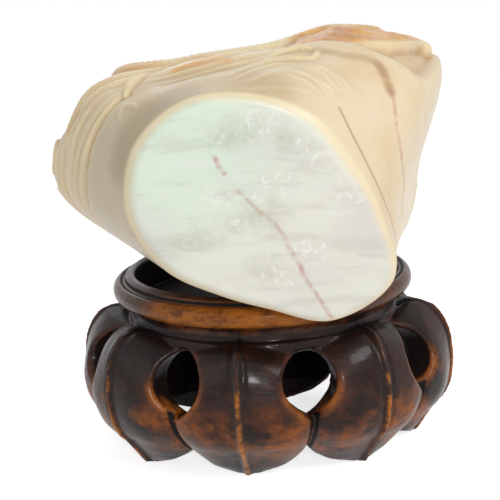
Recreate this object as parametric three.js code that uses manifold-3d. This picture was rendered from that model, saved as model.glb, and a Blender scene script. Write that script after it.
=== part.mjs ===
// A stone carving laid on its back across its own wood stand.
// The stone is one boulder of pale soapstone with a flat foot; the stand is one piece of
// hardwood, with a turned rim and a skirt of eight pierced petals over a hollow underside.
// Millimetres, +Z up. The origin is on the ground, in the middle of the object's own box.
// Azimuths are in degrees from the front (-Y) towards the right (+X).
import * as THREE from 'three';
import { mergeVertices } from 'three/addons/utils/BufferGeometryUtils.js';
import Module from 'manifold-3d';

const wasm = await Module();
wasm.setup();

// Driving dimensions of the stand.
const standWidth = 100;
const petalCount = 8;
const frontRibAzimuth = -8.5;
const skirtHeight = 35;
const skirtStretch = 0.92;
const footStretch = 0.81;
const skirtTopRadius = 34;
const wallThickness = 6;
const mouthThickness = 3.2;
const floorThickness = 5;

// The rim. It is turned, then drawn out a little from front to back.
const rimHeight = 12.5;
const rimStretch = 1.1;
const recessRadius = 33.8;
const recessDepth = 9;
const lipWidth = 3.4;
const lipRound = 1.1;
const grooveDepth = 1.6;
const beadReach = 2.6;
const beadHeight = 5.4;
const neckRadius = 34.6;
const neckBandWidth = 1;
const neckBandHeight = 1.2;

// The piercing between two petals, and how far below the skirt's top it starts.
const piercingWidth = 13.5;
const piercingHeight = 15.5;
const piercingDrop = 2;

// Driving dimensions of the stone, standing on its foot, and its pose on the stand.
const stoneHeight = 92;
const stoneWidth = 102;
const stoneTilt = 6;
const stoneTurn = -3;
const footFromRim = 15.5;
const footOffset = 0.4;
const seatGap = 0.4;

// One overrun serves every cut.
const overrun = 5;

// How finely the curved faces are cut into facets.
const facetsPerPetal = 12;
const skirtSteps = 12;
const rimFacets = 56;
const beadSteps = 6;
const lipSteps = 3;
const cavityFacets = 44;
const piercingSteps = 7;
const stoneFacets = 64;
const stoneSteps = 30;
const ridgeArcSteps = 4;
const facetTolerance = 0.08;

// The petal skirt's outlines, as shares of half the width and of the skirt's height.
const ribShares = [
  [0.72, 1], [0.78, 1.05], [0.85, 1.045], [0.92, 0.975], [0.972, 0.85], [0.996, 0.7],
  [1, 0.55], [0.985, 0.4], [0.95, 0.29], [0.905, 0.22], [0.845, 0.1], [0.79, -0.02],
];
const grooveShares = [
  [0.68, 1], [0.74, 0.99], [0.796, 0.945], [0.848, 0.865], [0.892, 0.77], [0.924, 0.655],
  [0.936, 0.54], [0.92, 0.43], [0.885, 0.335], [0.84, 0.26], [0.79, 0.2], [0.74, 0.165],
];
const mouthHeightShare = 0.6;

// A petal is a narrow rib on two round lobes: how much of its relief is the rib's, how fast
// the rib falls away, how square the lobes' shoulders are, and how narrow the foot is.
const ribReliefShare = 0.3;
const ribFallShare = 4;
const lobeShoulderShare = 3.2;
const footNarrowShare = 1.5;

// The stone's outlines, as shares of half its width, every 30 degrees from the right (+X)
// over the front (-Y), and the heights of those outlines as shares of the stone's height.
const stoneOutlineShares = [
  { height: 0, reach: [0.5, 0.435, 0.47, 0.515, 0.585, 0.6, 0.56, 0.485, 0.42, 0.44, 0.59, 0.65] },
  { height: 0.15, reach: [0.61, 0.64, 0.62, 0.59, 0.65, 0.78, 0.77, 0.58, 0.46, 0.44, 0.53, 0.65] },
  { height: 0.33, reach: [0.7, 0.87, 0.75, 0.625, 0.68, 0.93, 0.985, 0.68, 0.58, 0.56, 0.61, 0.7] },
  { height: 0.52, reach: [0.76, 0.98, 0.76, 0.575, 0.625, 0.925, 1.07, 0.79, 0.7, 0.66, 0.71, 0.77] },
  { height: 0.72, reach: [0.76, 0.94, 0.68, 0.49, 0.52, 0.78, 0.98, 0.83, 0.77, 0.7, 0.76, 0.79] },
  { height: 0.88, reach: [0.6, 0.71, 0.52, 0.37, 0.4, 0.6, 0.74, 0.71, 0.65, 0.58, 0.62, 0.63] },
  { height: 0.96, reach: [0.39, 0.45, 0.34, 0.25, 0.27, 0.39, 0.48, 0.47, 0.43, 0.38, 0.41, 0.41] },
  { height: 0.99, reach: [0.2, 0.23, 0.18, 0.14, 0.15, 0.21, 0.25, 0.24, 0.22, 0.2, 0.21, 0.21] },
];

// The carved front, which faces up on the stand. Its ground is sunk over a band of the height,
// except under a patch of raised skin at the right, which starts above a slanting lower edge.
const groundDepth = 3.2;
const ridgeRoot = 6;
const facingShares = [0.25, 0.7];
const groundStartShares = [0.3, 0.38];
const groundEndShares = [0.9, 0.97];
const skinStartShares = [0.1, 0.2];
const skinLowerEdgeShares = [[0.14, 0.29], [0.36, 0.31], [0.5, 0.345], [0.62, 0.39], [0.72, 0.46], [0.8, 0.56]];
const skinRiseShares = [-0.01, 0.03];
const skinFallShares = [0.2, 0.3];

// The relief is made of rounded ridges. Each has a path, radii spread along it, the height of
// its crest over the block's skin, and steps. A place on the front is a share of half the width
// and a share of the height; one on the flank is a share of a turn from +X over -Y, and of the height.
const bodyRidge = {
  frontShares: [
    [0.42, 0.66], [0.34, 0.58], [0.2, 0.5], [0, 0.4], [-0.3, 0.37], [-0.62, 0.46], [-0.72, 0.62],
    [-0.52, 0.78], [-0.16, 0.86], [0.22, 0.85], [0.5, 0.76], [0.55, 0.64], [0.36, 0.6],
    [0.12, 0.64], [-0.04, 0.65],
  ],
  radii: [0.8, 2.2, 3.4, 4.2, 4.8, 5, 5, 4.8, 4.4, 4, 3.8],
  crest: 0.2,
  steps: 44,
};
const legPaths = [
  [[-0.5, 0.42], [-0.36, 0.5], [-0.46, 0.56]],
  [[-0.36, 0.82], [-0.4, 0.72], [-0.26, 0.68]],
  [[0.34, 0.82], [0.28, 0.74], [0.12, 0.75]],
  [[0.06, 0.42], [0.12, 0.5], [-0.04, 0.54]],
];
const legForm = { radii: [3.4, 2.8, 2.1, 1.9], crest: -0.1, steps: 7 };
const headRidges = [
  { frontShares: [[0.06, 0.65], [-0.12, 0.64]], radii: [4.8, 4.6], crest: 0.8, steps: 3 },
  { frontShares: [[-0.1, 0.65], [-0.3, 0.62]], radii: [3.6, 2.5], crest: 0.9, steps: 3 },
  { frontShares: [[-0.06, 0.6], [-0.26, 0.565]], radii: [2.2, 1.5], crest: 0.1, steps: 3 },
  { frontShares: [[-0.02, 0.695], [-0.12, 0.69], [-0.19, 0.665]], radii: [1, 1.5, 0.8], crest: 1.7, steps: 4 },
];
const hornPaths = [
  [[0, 0.69], [0.12, 0.735], [0.26, 0.745], [0.32, 0.72]],
  [[0.04, 0.665], [0.2, 0.69], [0.34, 0.69], [0.42, 0.665]],
];
const hornForm = { radii: [1.6, 1.3, 1, 0.5], crest: 1.5, steps: 7 };
const maneCount = 4;
const maneRootShares = [[0.08, 0.7], [0.08, 0.57]];
const maneBendShares = [[0.2, 0.745], [0.2, 0.53]];
const maneTipShares = [[0.32, 0.74], [0.32, 0.565]];
const maneForm = { radii: [1.5, 1.2, 0.5], crest: 0.5, steps: 4 };
const pearlRidge = { frontShares: [[-0.51, 0.6], [-0.49, 0.6]], radii: [3.6, 3.6], crest: 0.3, steps: 2 };

// Each cloud is a curl with a tail, given by its middle, its size and the way that it turns.
const cloudShares = [
  [-0.2, 0.46, 0.06, 1], [0.26, 0.41, 0.06, -1], [-0.56, 0.86, 0.05, 1], [0.44, 0.88, 0.05, -1],
  [-0.14, 0.76, 0.05, 1], [0.56, 0.82, 0.05, -1], [-0.8, 0.5, 0.05, 1], [-0.8, 0.74, 0.05, 1],
];
const cloudTurns = 1.1;
const cloudStartShare = 0.36;
const cloudTailShares = [2, 1.2];
const cloudForm = { radii: [0.9, 1.1, 1.3, 1.2, 0.5], crest: -1.3, steps: 11 };

// The lower edge of the carving: strands that run into a loop, curled tufts, flutes and leaves.
const strandCount = 7;
const strandStartShares = [[-0.6, 0.2], [-0.5, 0.34]];
const strandMiddleShares = [[-0.2, 0.12], [-0.1, 0.33]];
const strandEndShares = [[0.24, 0.2], [0.24, 0.28]];
const strandForm = { radii: [0.6, 1.7, 1.7, 1.1], crest: 0.15, steps: 8 };
const flutePaths = [0.15, 0.19, 0.235].map((height) => [0.37, 0.42, 0.475, 0.53].map((turn) => [turn, height]));
const fluteForm = { radii: [0.7, 2, 2, 1], crest: 0.3, steps: 9 };
const leafPaths = [
  [[0.365, 0.2], [0.385, 0.25], [0.4, 0.32], [0.41, 0.38]],
  [[0.35, 0.22], [0.36, 0.28], [0.375, 0.35]],
  [[0.335, 0.2], [0.33, 0.27], [0.345, 0.34]],
];
const leafForm = { radii: [0.8, 2.2, 2.4, 1], crest: 0.5, steps: 6 };

const materials = {
  stone: new THREE.MeshStandardMaterial({ color: 0xdccfb9, roughness: 0.35, metalness: 0 }),
  wood: new THREE.MeshStandardMaterial({ color: 0x3a1a0f, roughness: 0.35, metalness: 0 }),
};

const radians = THREE.MathUtils.degToRad;

// Solids in and out of the boolean library.

function solidFrom(geometry) {
  const bare = geometry.clone();
  bare.deleteAttribute('normal');
  bare.deleteAttribute('uv');
  const merged = mergeVertices(bare, 1e-5);
  return new wasm.Manifold(new wasm.Mesh({
    numProp: 3,
    vertProperties: new Float32Array(merged.attributes.position.array),
    triVerts: new Uint32Array(merged.index.array),
  }));
}

// Slivers that the booleans leave are merged away on the way out.
function geometryFrom(solid) {
  const mesh = solid.asOriginal().simplify(facetTolerance).getMesh();
  const geometry = new THREE.BufferGeometry();
  geometry.setAttribute('position', new THREE.BufferAttribute(mesh.vertProperties, 3));
  geometry.setIndex(new THREE.BufferAttribute(mesh.triVerts, 1));
  geometry.computeVertexNormals();
  return geometry;
}

// A closed skin over a grid of points: each row is a ring, and a point closes either end.
function skinOver(rings, startPoint, endPoint) {
  const around = rings[0].length;
  const points = [...rings.flat(), startPoint, endPoint];
  const start = points.length - 2;
  const end = points.length - 1;
  const faces = [];
  for (let row = 0; row < rings.length - 1; row += 1) {
    for (let step = 0; step < around; step += 1) {
      const next = (step + 1) % around;
      const here = row * around;
      const above = here + around;
      faces.push(here + step, here + next, above + next);
      faces.push(here + step, above + next, above + step);
    }
  }
  const last = (rings.length - 1) * around;
  for (let step = 0; step < around; step += 1) {
    const next = (step + 1) % around;
    faces.push(start, next, step);
    faces.push(end, last + step, last + next);
  }
  const geometry = new THREE.BufferGeometry();
  geometry.setAttribute('position', new THREE.Float32BufferAttribute(points.flatMap((p) => p.toArray()), 3));
  geometry.setIndex(faces);
  return geometry;
}

function arcPoints(centreR, centreZ, reachR, reachZ, fromDegrees, toDegrees, steps) {
  const points = [];
  for (let step = 0; step <= steps; step += 1) {
    const angle = radians(fromDegrees + ((toDegrees - fromDegrees) * step) / steps);
    points.push(new THREE.Vector2(centreR + reachR * Math.cos(angle), centreZ + reachZ * Math.sin(angle)));
  }
  return points;
}

// The rim: recess wall, rounded lip, groove, bead, hollowed neck and the band under it.

const standHeight = skirtHeight + rimHeight;
const recessFloor = standHeight - recessDepth;
const grooveRadius = recessRadius + lipWidth;
const grooveHeight = standHeight - grooveDepth;
const beadMiddle = grooveHeight - beadHeight / 2;
const beadBottom = beadMiddle - beadHeight / 2;
const neckBandTop = skirtHeight + neckBandHeight;

function rimOutline() {
  const neckMiddle = (beadBottom + neckBandTop) / 2;
  return [
    new THREE.Vector2(0, skirtHeight - floorThickness),
    new THREE.Vector2(skirtTopRadius, skirtHeight - floorThickness),
    new THREE.Vector2(neckRadius + neckBandWidth, skirtHeight - neckBandHeight / 2),
    new THREE.Vector2(neckRadius + neckBandWidth, neckBandTop - neckBandHeight / 3),
    new THREE.Vector2(neckRadius + neckBandWidth / 3, neckBandTop),
    new THREE.Vector2(neckRadius, neckMiddle - neckBandHeight / 2),
    new THREE.Vector2(neckRadius + neckBandWidth / 3, neckMiddle + neckBandHeight / 2),
    new THREE.Vector2((neckRadius + grooveRadius) / 2, beadBottom - neckBandHeight / 4),
    ...arcPoints(grooveRadius, beadMiddle, beadReach, beadHeight / 2, -80, 80, beadSteps),
    new THREE.Vector2(grooveRadius, grooveHeight - grooveDepth / 4),
    new THREE.Vector2(grooveRadius - lipWidth / 4, grooveHeight + grooveDepth / 2),
    ...arcPoints(recessRadius + lipRound, standHeight - lipRound, lipRound, lipRound, 70, 180, lipSteps),
    new THREE.Vector2(recessRadius, recessFloor),
    new THREE.Vector2(0, recessFloor),
  ];
}

function rimSolid() {
  const rim = new THREE.LatheGeometry(rimOutline(), rimFacets);
  rim.rotateX(Math.PI / 2);
  rim.scale(1, rimStretch, 1);
  return solidFrom(rim);
}

// The skirt: petals whose ribs and grooves run from the neck down to the feet.

const petalAngle = 360 / petalCount;
const ribPath = new THREE.CatmullRomCurve3(ribShares.map(([r, z]) => new THREE.Vector3(r, 0, z)));
const groovePath = new THREE.CatmullRomCurve3(grooveShares.map(([r, z]) => new THREE.Vector3(r, 0, z)));

function onAzimuth(azimuth, radius, height) {
  const angle = radians(azimuth);
  return new THREE.Vector3(radius * Math.sin(angle), -radius * Math.cos(angle), height);
}

// From 0 on a rib to 1 in a groove.
function awayShare(azimuth) {
  const turns = (azimuth - frontRibAzimuth) / petalAngle;
  return Math.abs(turns - Math.round(turns)) * 2;
}

function reliefShare(away) {
  const rib = ribReliefShare * (1 - away) ** ribFallShare;
  const lobes = (1 - ribReliefShare) * (1 - away ** lobeShoulderShare);
  return rib + lobes;
}

// The skirt is narrower from front to back than from side to side, most of all at its feet.
function stretchAt(height) {
  const lift = THREE.MathUtils.clamp(height / skirtHeight, 0, 1);
  return THREE.MathUtils.lerp(skirtStretch, footStretch, (1 - lift) ** 3);
}

function skirtPoint(azimuth, share) {
  const away = awayShare(azimuth);
  const rib = ribPath.getPoint(share);
  const groove = groovePath.getPoint(share);
  const reach = THREE.MathUtils.lerp(groove.x, rib.x, reliefShare(away));
  const lift = THREE.MathUtils.lerp(groove.z, rib.z, (1 - away) ** footNarrowShare);
  const point = onAzimuth(azimuth, (reach * standWidth) / 2, lift * skirtHeight);
  point.y *= stretchAt(point.z);
  return point;
}

function skirtSolid() {
  const around = petalCount * facetsPerPetal;
  const rings = [];
  for (let step = skirtSteps; step >= 0; step -= 1) {
    const ring = [];
    for (let facet = 0; facet < around; facet += 1) {
      ring.push(skirtPoint(frontRibAzimuth + (360 * facet) / around, step / skirtSteps));
    }
    rings.push(ring);
  }
  const middle = (skirtHeight - floorThickness) / 2;
  return solidFrom(skinOver(rings, new THREE.Vector3(0, 0, middle), new THREE.Vector3(0, 0, skirtHeight)));
}

// The hollow underside follows the grooves inside a wall that thins towards its mouth.

function cavityWallPoint([radiusShare, heightShare]) {
  const lift = THREE.MathUtils.smoothstep(heightShare, 0, mouthHeightShare);
  const wall = THREE.MathUtils.lerp(mouthThickness, wallThickness, lift);
  return new THREE.Vector2((radiusShare * standWidth) / 2 - wall, heightShare * skirtHeight);
}

function cavitySolid() {
  const ceiling = recessFloor - floorThickness;
  const walls = grooveShares.map(cavityWallPoint).filter((point) => point.y < ceiling - lipRound);
  const outline = [
    new THREE.Vector2(0, ceiling),
    new THREE.Vector2(walls[0].x - lipRound, ceiling),
    ...walls,
    new THREE.Vector2(walls.at(-1).x, -overrun),
    new THREE.Vector2(0, -overrun),
  ];
  const cavity = new THREE.LatheGeometry(outline.reverse(), cavityFacets);
  cavity.rotateX(Math.PI / 2);
  const places = cavity.attributes.position;
  for (let place = 0; place < places.count; place += 1) {
    places.setY(place, places.getY(place) * stretchAt(places.getZ(place)));
  }
  return solidFrom(cavity);
}

// A teardrop: an arch over two sides that curve in to a point.
function piercingShape() {
  const half = piercingWidth / 2;
  const top = skirtHeight - piercingDrop;
  const springing = top - half;
  const tip = top - piercingHeight;
  const swell = (springing - tip) / 2;
  const shape = new THREE.Shape();
  shape.moveTo(0, tip);
  shape.quadraticCurveTo(half, springing - swell, half, springing);
  shape.absarc(0, springing, half, 0, Math.PI, false);
  shape.quadraticCurveTo(-half, springing - swell, 0, tip);
  return shape;
}

function piercingSolid(azimuth) {
  const inner = neckRadius - wallThickness;
  const depth = standWidth / 2 + overrun - inner;
  const settings = { depth, bevelEnabled: false, curveSegments: piercingSteps };
  const drop = new THREE.ExtrudeGeometry(piercingShape(), settings);
  drop.rotateX(Math.PI / 2);
  drop.translate(0, -inner, 0);
  drop.rotateZ(radians(azimuth));
  return solidFrom(drop);
}

function groundSolid() {
  const ground = new THREE.BoxGeometry(standWidth * 2, standWidth * 2, standHeight);
  ground.translate(0, 0, -standHeight / 2);
  return solidFrom(ground);
}

function standGeometry() {
  let stand = skirtSolid().add(rimSolid()).subtract(cavitySolid()).subtract(groundSolid());
  for (let petal = 0; petal < petalCount; petal += 1) {
    stand = stand.subtract(piercingSolid(frontRibAzimuth + (petal + 0.5) * petalAngle));
  }
  return geometryFrom(stand);
}

// The stone, standing on its foot at z = 0 with its carved front to -Y.

const outlinePaths = stoneOutlineShares.map(({ reach }) => new THREE.CatmullRomCurve3(
  reach.map((share, place) => {
    const angle = (place / reach.length) * Math.PI * 2;
    return new THREE.Vector3(share * Math.cos(angle), -share * Math.sin(angle), 0);
  }),
  true,
));

// A point of the stone's skin, by its share of the way round and of the way up the outlines.
function stonePoint(aroundShare, upShare) {
  const places = outlinePaths.map((path, level) => {
    const point = path.getPoint(aroundShare);
    const height = stoneOutlineShares[level].height * stoneHeight;
    return new THREE.Vector3((point.x * stoneWidth) / 2, (point.y * stoneWidth) / 2, height);
  });
  return new THREE.CatmullRomCurve3(places).getPoint(upShare);
}

function stoneRings(facets, steps, pointAt) {
  const rings = [];
  for (let step = 0; step <= steps; step += 1) {
    const ring = [];
    for (let facet = facets; facet > 0; facet -= 1) {
      ring.push(pointAt(facet / facets, step / steps));
    }
    rings.push(ring);
  }
  return rings;
}

const footMiddle = new THREE.Vector3(0, 0, 0);
const crown = new THREE.Vector3(0, 0, stoneHeight);

// Which way the stone's skin faces at a place.
function stoneNormal(aroundShare, upShare) {
  const nudge = 1 / (stoneFacets * 4);
  const east = stonePoint(aroundShare + nudge, upShare).sub(stonePoint(aroundShare - nudge, upShare));
  const above = stonePoint(aroundShare, Math.min(upShare + nudge, 1));
  const below = stonePoint(aroundShare, Math.max(upShare - nudge, 0));
  return above.sub(below).cross(east).normalize();
}

const between = THREE.MathUtils.smoothstep;

// The height share of the raised skin's lower edge, by the share of half the width.
function skinLowerEdge(acrossShare) {
  const edge = skinLowerEdgeShares;
  const next = edge.findIndex(([across]) => across > acrossShare);
  if (next <= 0) return next === 0 ? edge[0][1] : edge.at(-1)[1];
  const [a, b] = [edge[next - 1], edge[next]];
  return THREE.MathUtils.mapLinear(acrossShare, a[0], b[0], a[1], b[1]);
}

// From 0 on the polished skin to 1 where the carved ground is at its full depth.
function sunkShare(point, normal) {
  const height = point.z / stoneHeight;
  const across = (point.x / stoneWidth) * 2;
  const facing = between(-normal.y, ...facingShares);
  const band = between(height, ...groundStartShares) * (1 - between(height, ...groundEndShares));
  const overEdge = height - skinLowerEdge(across);
  const skin = between(overEdge, ...skinRiseShares) * (1 - between(overEdge, ...skinFallShares));
  return facing * band * (1 - facing * skin * between(across, ...skinStartShares));
}

function sunkPoint(aroundShare, upShare) {
  const point = stonePoint(aroundShare, upShare);
  const normal = stoneNormal(aroundShare, upShare);
  return point.addScaledVector(normal, -groundDepth * sunkShare(point, normal));
}

// The smooth block, which finds the places of the relief on the stone's skin.
const blockRings = stoneRings(stoneFacets * 2, stoneSteps * 2, stonePoint);
const block = new THREE.Mesh(skinOver(blockRings, footMiddle, crown), materials.stone);

function onSkin(start, way) {
  const [hit] = new THREE.Raycaster(start, way).intersectObject(block);
  return { point: hit.point, normal: hit.face.normal.clone() };
}

function onFront([acrossShare, heightShare]) {
  const start = new THREE.Vector3((acrossShare * stoneWidth) / 2, -stoneWidth, heightShare * stoneHeight);
  return onSkin(start, new THREE.Vector3(0, 1, 0));
}

function onFlank([turnShare, heightShare]) {
  const angle = turnShare * Math.PI * 2;
  const inward = new THREE.Vector3(-Math.cos(angle), Math.sin(angle), 0);
  const start = inward.clone().multiplyScalar(-stoneWidth);
  start.z = heightShare * stoneHeight;
  return onSkin(start, inward);
}

function alongShares(shares, steps) {
  const path = new THREE.CatmullRomCurve3(shares.map(([a, b]) => new THREE.Vector3(a, b, 0)));
  return path.getPoints(steps).map((place) => [place.x, place.y]);
}

function radiusAt(radii, share) {
  const place = share * (radii.length - 1);
  const low = Math.min(Math.floor(place), radii.length - 2);
  return THREE.MathUtils.lerp(radii[low], radii[low + 1], place - low);
}

// A ridge is round on top, and its sides go straight down past the sunk ground.
function ridgeSolid(places, { radii, crest }) {
  const frames = places.map(({ point, normal }, step) => {
    const ahead = places[Math.min(step + 1, places.length - 1)].point;
    const behind = places[Math.max(step - 1, 0)].point;
    const way = ahead.clone().sub(behind).normalize();
    const side = way.clone().cross(normal).normalize();
    const radius = radiusAt(radii, step / (places.length - 1));
    const centre = point.clone().addScaledVector(normal, crest - radius);
    return { centre, way, side, up: side.clone().cross(way), radius };
  });
  const rings = frames.map(({ centre, side, up, radius }) => {
    const ring = [];
    for (let step = 0; step <= ridgeArcSteps; step += 1) {
      const angle = (step / ridgeArcSteps - 0.5) * Math.PI;
      const place = centre.clone().addScaledVector(up, radius * Math.cos(angle));
      ring.push(place.addScaledVector(side, radius * Math.sin(angle)));
    }
    const [right, left] = [ring.at(-1), ring[0]];
    ring.push(right.clone().addScaledVector(up, -ridgeRoot), left.clone().addScaledVector(up, -ridgeRoot));
    return ring;
  });
  const [first, last] = [frames[0], frames.at(-1)];
  const start = first.centre.clone().addScaledVector(first.way, -first.radius / 2);
  const end = last.centre.clone().addScaledVector(last.way, last.radius / 2);
  return solidFrom(skinOver(rings, start, end));
}

function frontRidge(shares, form) {
  return ridgeSolid(alongShares(shares, form.steps).map(onFront), form);
}

function flankRidge(shares, form) {
  return ridgeSolid(alongShares(shares, form.steps).map(onFlank), form);
}

// The shares of a place in a row that runs from one pair of shares to another.
function inRow([from, to], share) {
  return [THREE.MathUtils.lerp(from[0], to[0], share), THREE.MathUtils.lerp(from[1], to[1], share)];
}

function cloudPath([across, height, size, turn]) {
  const widthShare = (stoneHeight / stoneWidth) * 2;
  const curl = [];
  for (let step = 0; step <= cloudForm.steps; step += 1) {
    const share = step / cloudForm.steps;
    const angle = share * cloudTurns * Math.PI * 2;
    const reach = THREE.MathUtils.lerp(cloudStartShare, 1, share) * size;
    curl.push([across + reach * widthShare * Math.cos(angle) * turn, height + reach * Math.sin(angle)]);
  }
  const [tailAcross, tailHeight] = cloudTailShares;
  curl.push([across + tailAcross * size * widthShare * turn, height + tailHeight * size]);
  return curl;
}

function reliefSolids() {
  const ridges = [frontRidge(bodyRidge.frontShares, bodyRidge), frontRidge(pearlRidge.frontShares, pearlRidge)];
  headRidges.forEach((ridge) => ridges.push(frontRidge(ridge.frontShares, ridge)));
  legPaths.forEach((path) => ridges.push(frontRidge(path, legForm)));
  hornPaths.forEach((path) => ridges.push(frontRidge(path, hornForm)));
  for (let strand = 0; strand < maneCount; strand += 1) {
    const rows = [maneRootShares, maneBendShares, maneTipShares];
    ridges.push(frontRidge(rows.map((row) => inRow(row, strand / (maneCount - 1))), maneForm));
  }
  cloudShares.forEach((cloud) => ridges.push(frontRidge(cloudPath(cloud), cloudForm)));
  for (let strand = 0; strand < strandCount; strand += 1) {
    const rows = [strandStartShares, strandMiddleShares, strandEndShares];
    ridges.push(frontRidge(rows.map((row) => inRow(row, strand / (strandCount - 1))), strandForm));
  }
  flutePaths.forEach((path) => ridges.push(flankRidge(path, fluteForm)));
  leafPaths.forEach((path) => ridges.push(flankRidge(path, leafForm)));
  return ridges;
}

function stoneGeometry() {
  const ground = solidFrom(skinOver(stoneRings(stoneFacets, stoneSteps, sunkPoint), footMiddle, crown));
  return geometryFrom(reliefSolids().reduce((stone, ridge) => stone.add(ridge), ground));
}

// The stone lies on its back with its foot to the front, past the rim.

const footDistance = (grooveRadius + beadReach) * rimStretch + footFromRim;

function laid(point, height) {
  const turned = point.clone();
  turned.applyAxisAngle(new THREE.Vector3(1, 0, 0), radians(stoneTilt - 90));
  turned.applyAxisAngle(new THREE.Vector3(0, 0, 1), radians(stoneTurn));
  return turned.add(new THREE.Vector3(footOffset, -footDistance, height));
}

// The top of the rim over a place, from the rim's own outline.
function rimTopAt(x, y) {
  const outline = rimOutline();
  const reach = Math.hypot(x, y / rimStretch);
  if (reach > grooveRadius + beadReach) return 0;
  let top = recessFloor;
  for (let point = 0; point < outline.length - 1; point += 1) {
    const [a, b] = [outline[point], outline[point + 1]];
    const across = b.x - a.x;
    const within = reach >= Math.min(a.x, b.x) && reach <= Math.max(a.x, b.x);
    if (across < 0 && within) {
      top = Math.max(top, a.y + ((b.y - a.y) * (reach - a.x)) / across);
    }
  }
  return top;
}

// The height of the foot's centre at which the stone just rests on the rim.
function restingHeight() {
  let room = Infinity;
  for (const ring of stoneRings(stoneFacets * 2, stoneSteps * 3, stonePoint)) {
    for (const point of ring) {
      const place = laid(point, 0);
      room = Math.min(room, place.z - rimTopAt(place.x, place.y));
    }
  }
  return seatGap - room;
}

// The whole object.

function named(name, geometry, material) {
  const mesh = new THREE.Mesh(geometry, material);
  mesh.name = name;
  return mesh;
}

const stand = named('wood_stand', standGeometry(), materials.wood);
const stone = named('stone_carving', stoneGeometry(), materials.stone);

const tilted = new THREE.Group();
tilted.rotation.x = radians(stoneTilt - 90);
tilted.add(stone);

const laidStone = new THREE.Group();
laidStone.rotation.z = radians(stoneTurn);
laidStone.position.set(footOffset, -footDistance, restingHeight());
laidStone.add(tilted);

const object = new THREE.Group();
object.add(stand, laidStone);
object.updateMatrixWorld(true);

const box = new THREE.Box3().setFromObject(object, true);
const middle = box.getCenter(new THREE.Vector3());
object.position.set(-middle.x, -middle.y, 0);

const group = new THREE.Group();
group.add(object);

export default group;
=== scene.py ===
import math

import bpy
import numpy as np
from mathutils import Matrix, Vector


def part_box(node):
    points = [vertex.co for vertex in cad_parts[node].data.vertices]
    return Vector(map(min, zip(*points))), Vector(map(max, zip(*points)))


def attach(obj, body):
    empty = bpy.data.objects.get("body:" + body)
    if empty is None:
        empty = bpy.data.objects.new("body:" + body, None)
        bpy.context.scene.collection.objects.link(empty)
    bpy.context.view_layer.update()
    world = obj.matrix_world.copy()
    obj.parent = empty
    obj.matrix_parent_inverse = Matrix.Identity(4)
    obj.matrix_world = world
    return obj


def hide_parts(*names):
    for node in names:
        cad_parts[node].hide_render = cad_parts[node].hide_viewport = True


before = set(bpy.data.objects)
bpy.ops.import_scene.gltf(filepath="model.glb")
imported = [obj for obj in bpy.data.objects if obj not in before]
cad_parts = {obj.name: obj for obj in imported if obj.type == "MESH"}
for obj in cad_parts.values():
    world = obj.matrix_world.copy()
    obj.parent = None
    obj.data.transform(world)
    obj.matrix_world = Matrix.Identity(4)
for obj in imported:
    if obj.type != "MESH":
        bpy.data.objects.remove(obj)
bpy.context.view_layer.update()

# A pale soapstone dragon carving, laid on its back across its pierced hardwood stand.
# The frame's metres are left for millimetres while a shape is made, and come back in its mesh.
# Azimuths are in degrees from the front (-Y) towards the right (+X).

METRES = 0.001

# Fineness of the meshes, in millimetres.
STAND_CELL = 0.45
STONE_STEP = 0.36

# The stand, from the same dimensions as its CAD solid.
STAND_WIDTH = 100
PETAL_COUNT = 8
FRONT_RIB_AZIMUTH = -8.5
SKIRT_HEIGHT = 35
SKIRT_STRETCH = 0.92
FOOT_STRETCH = 0.81
SKIRT_TOP_RADIUS = 34
WALL_THICKNESS = 6
MOUTH_THICKNESS = 3.2
FLOOR_THICKNESS = 5
RIM_HEIGHT = 12.5
RIM_STRETCH = 1.1
RECESS_RADIUS = 33.8
RECESS_DEPTH = 9
LIP_WIDTH = 3.4
LIP_ROUND = 1.1
GROOVE_DEPTH = 1.6
BEAD_REACH = 2.6
BEAD_HEIGHT = 5.4
NECK_RADIUS = 34.6
NECK_BAND_WIDTH = 1
NECK_BAND_HEIGHT = 1.2
PIERCING_WIDTH = 13.5
PIERCING_HEIGHT = 15.5
PIERCING_DROP = 2
OVERRUN = 5

RIB_SHARES = [
    (0.72, 1), (0.78, 1.05), (0.85, 1.045), (0.92, 0.975), (0.972, 0.85), (0.996, 0.7),
    (1, 0.55), (0.985, 0.4), (0.95, 0.29), (0.905, 0.22), (0.845, 0.1), (0.79, -0.02),
]
GROOVE_SHARES = [
    (0.68, 1), (0.74, 0.99), (0.796, 0.945), (0.848, 0.865), (0.892, 0.77), (0.924, 0.655),
    (0.936, 0.54), (0.92, 0.43), (0.885, 0.335), (0.84, 0.26), (0.79, 0.2), (0.74, 0.165),
]
MOUTH_HEIGHT_SHARE = 0.6
RIB_RELIEF_SHARE = 0.3
RIB_FALL_SHARE = 4
LOBE_SHOULDER_SHARE = 3.2
FOOT_NARROW_SHARE = 1.5

# How round the carver left the stand's edges, and how uneven its faces.
JOIN_ROUND = 0.9
PIERCING_ROUND = 1.5
TOOL_MARK = 0.16
TOOL_MARK_LENGTH = 7
RIB_LINE_HEIGHT = 0.5
RIB_LINE_WIDTH = 0.7
RIB_VALLEY_DEPTH = 0.35
LOBE_SWELL = 0.7
LOBE_HEIGHTS = ((0, 3), (18, 30))
LOBE_FULL_SHARE = 0.35
GROOVE_CUT_DEPTH = 1.3
GROOVE_CUT_WIDTH = 1.1
RIM_LINE_RADIUS = 0.75
RIM_LINE_SINK = 0.1

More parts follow.
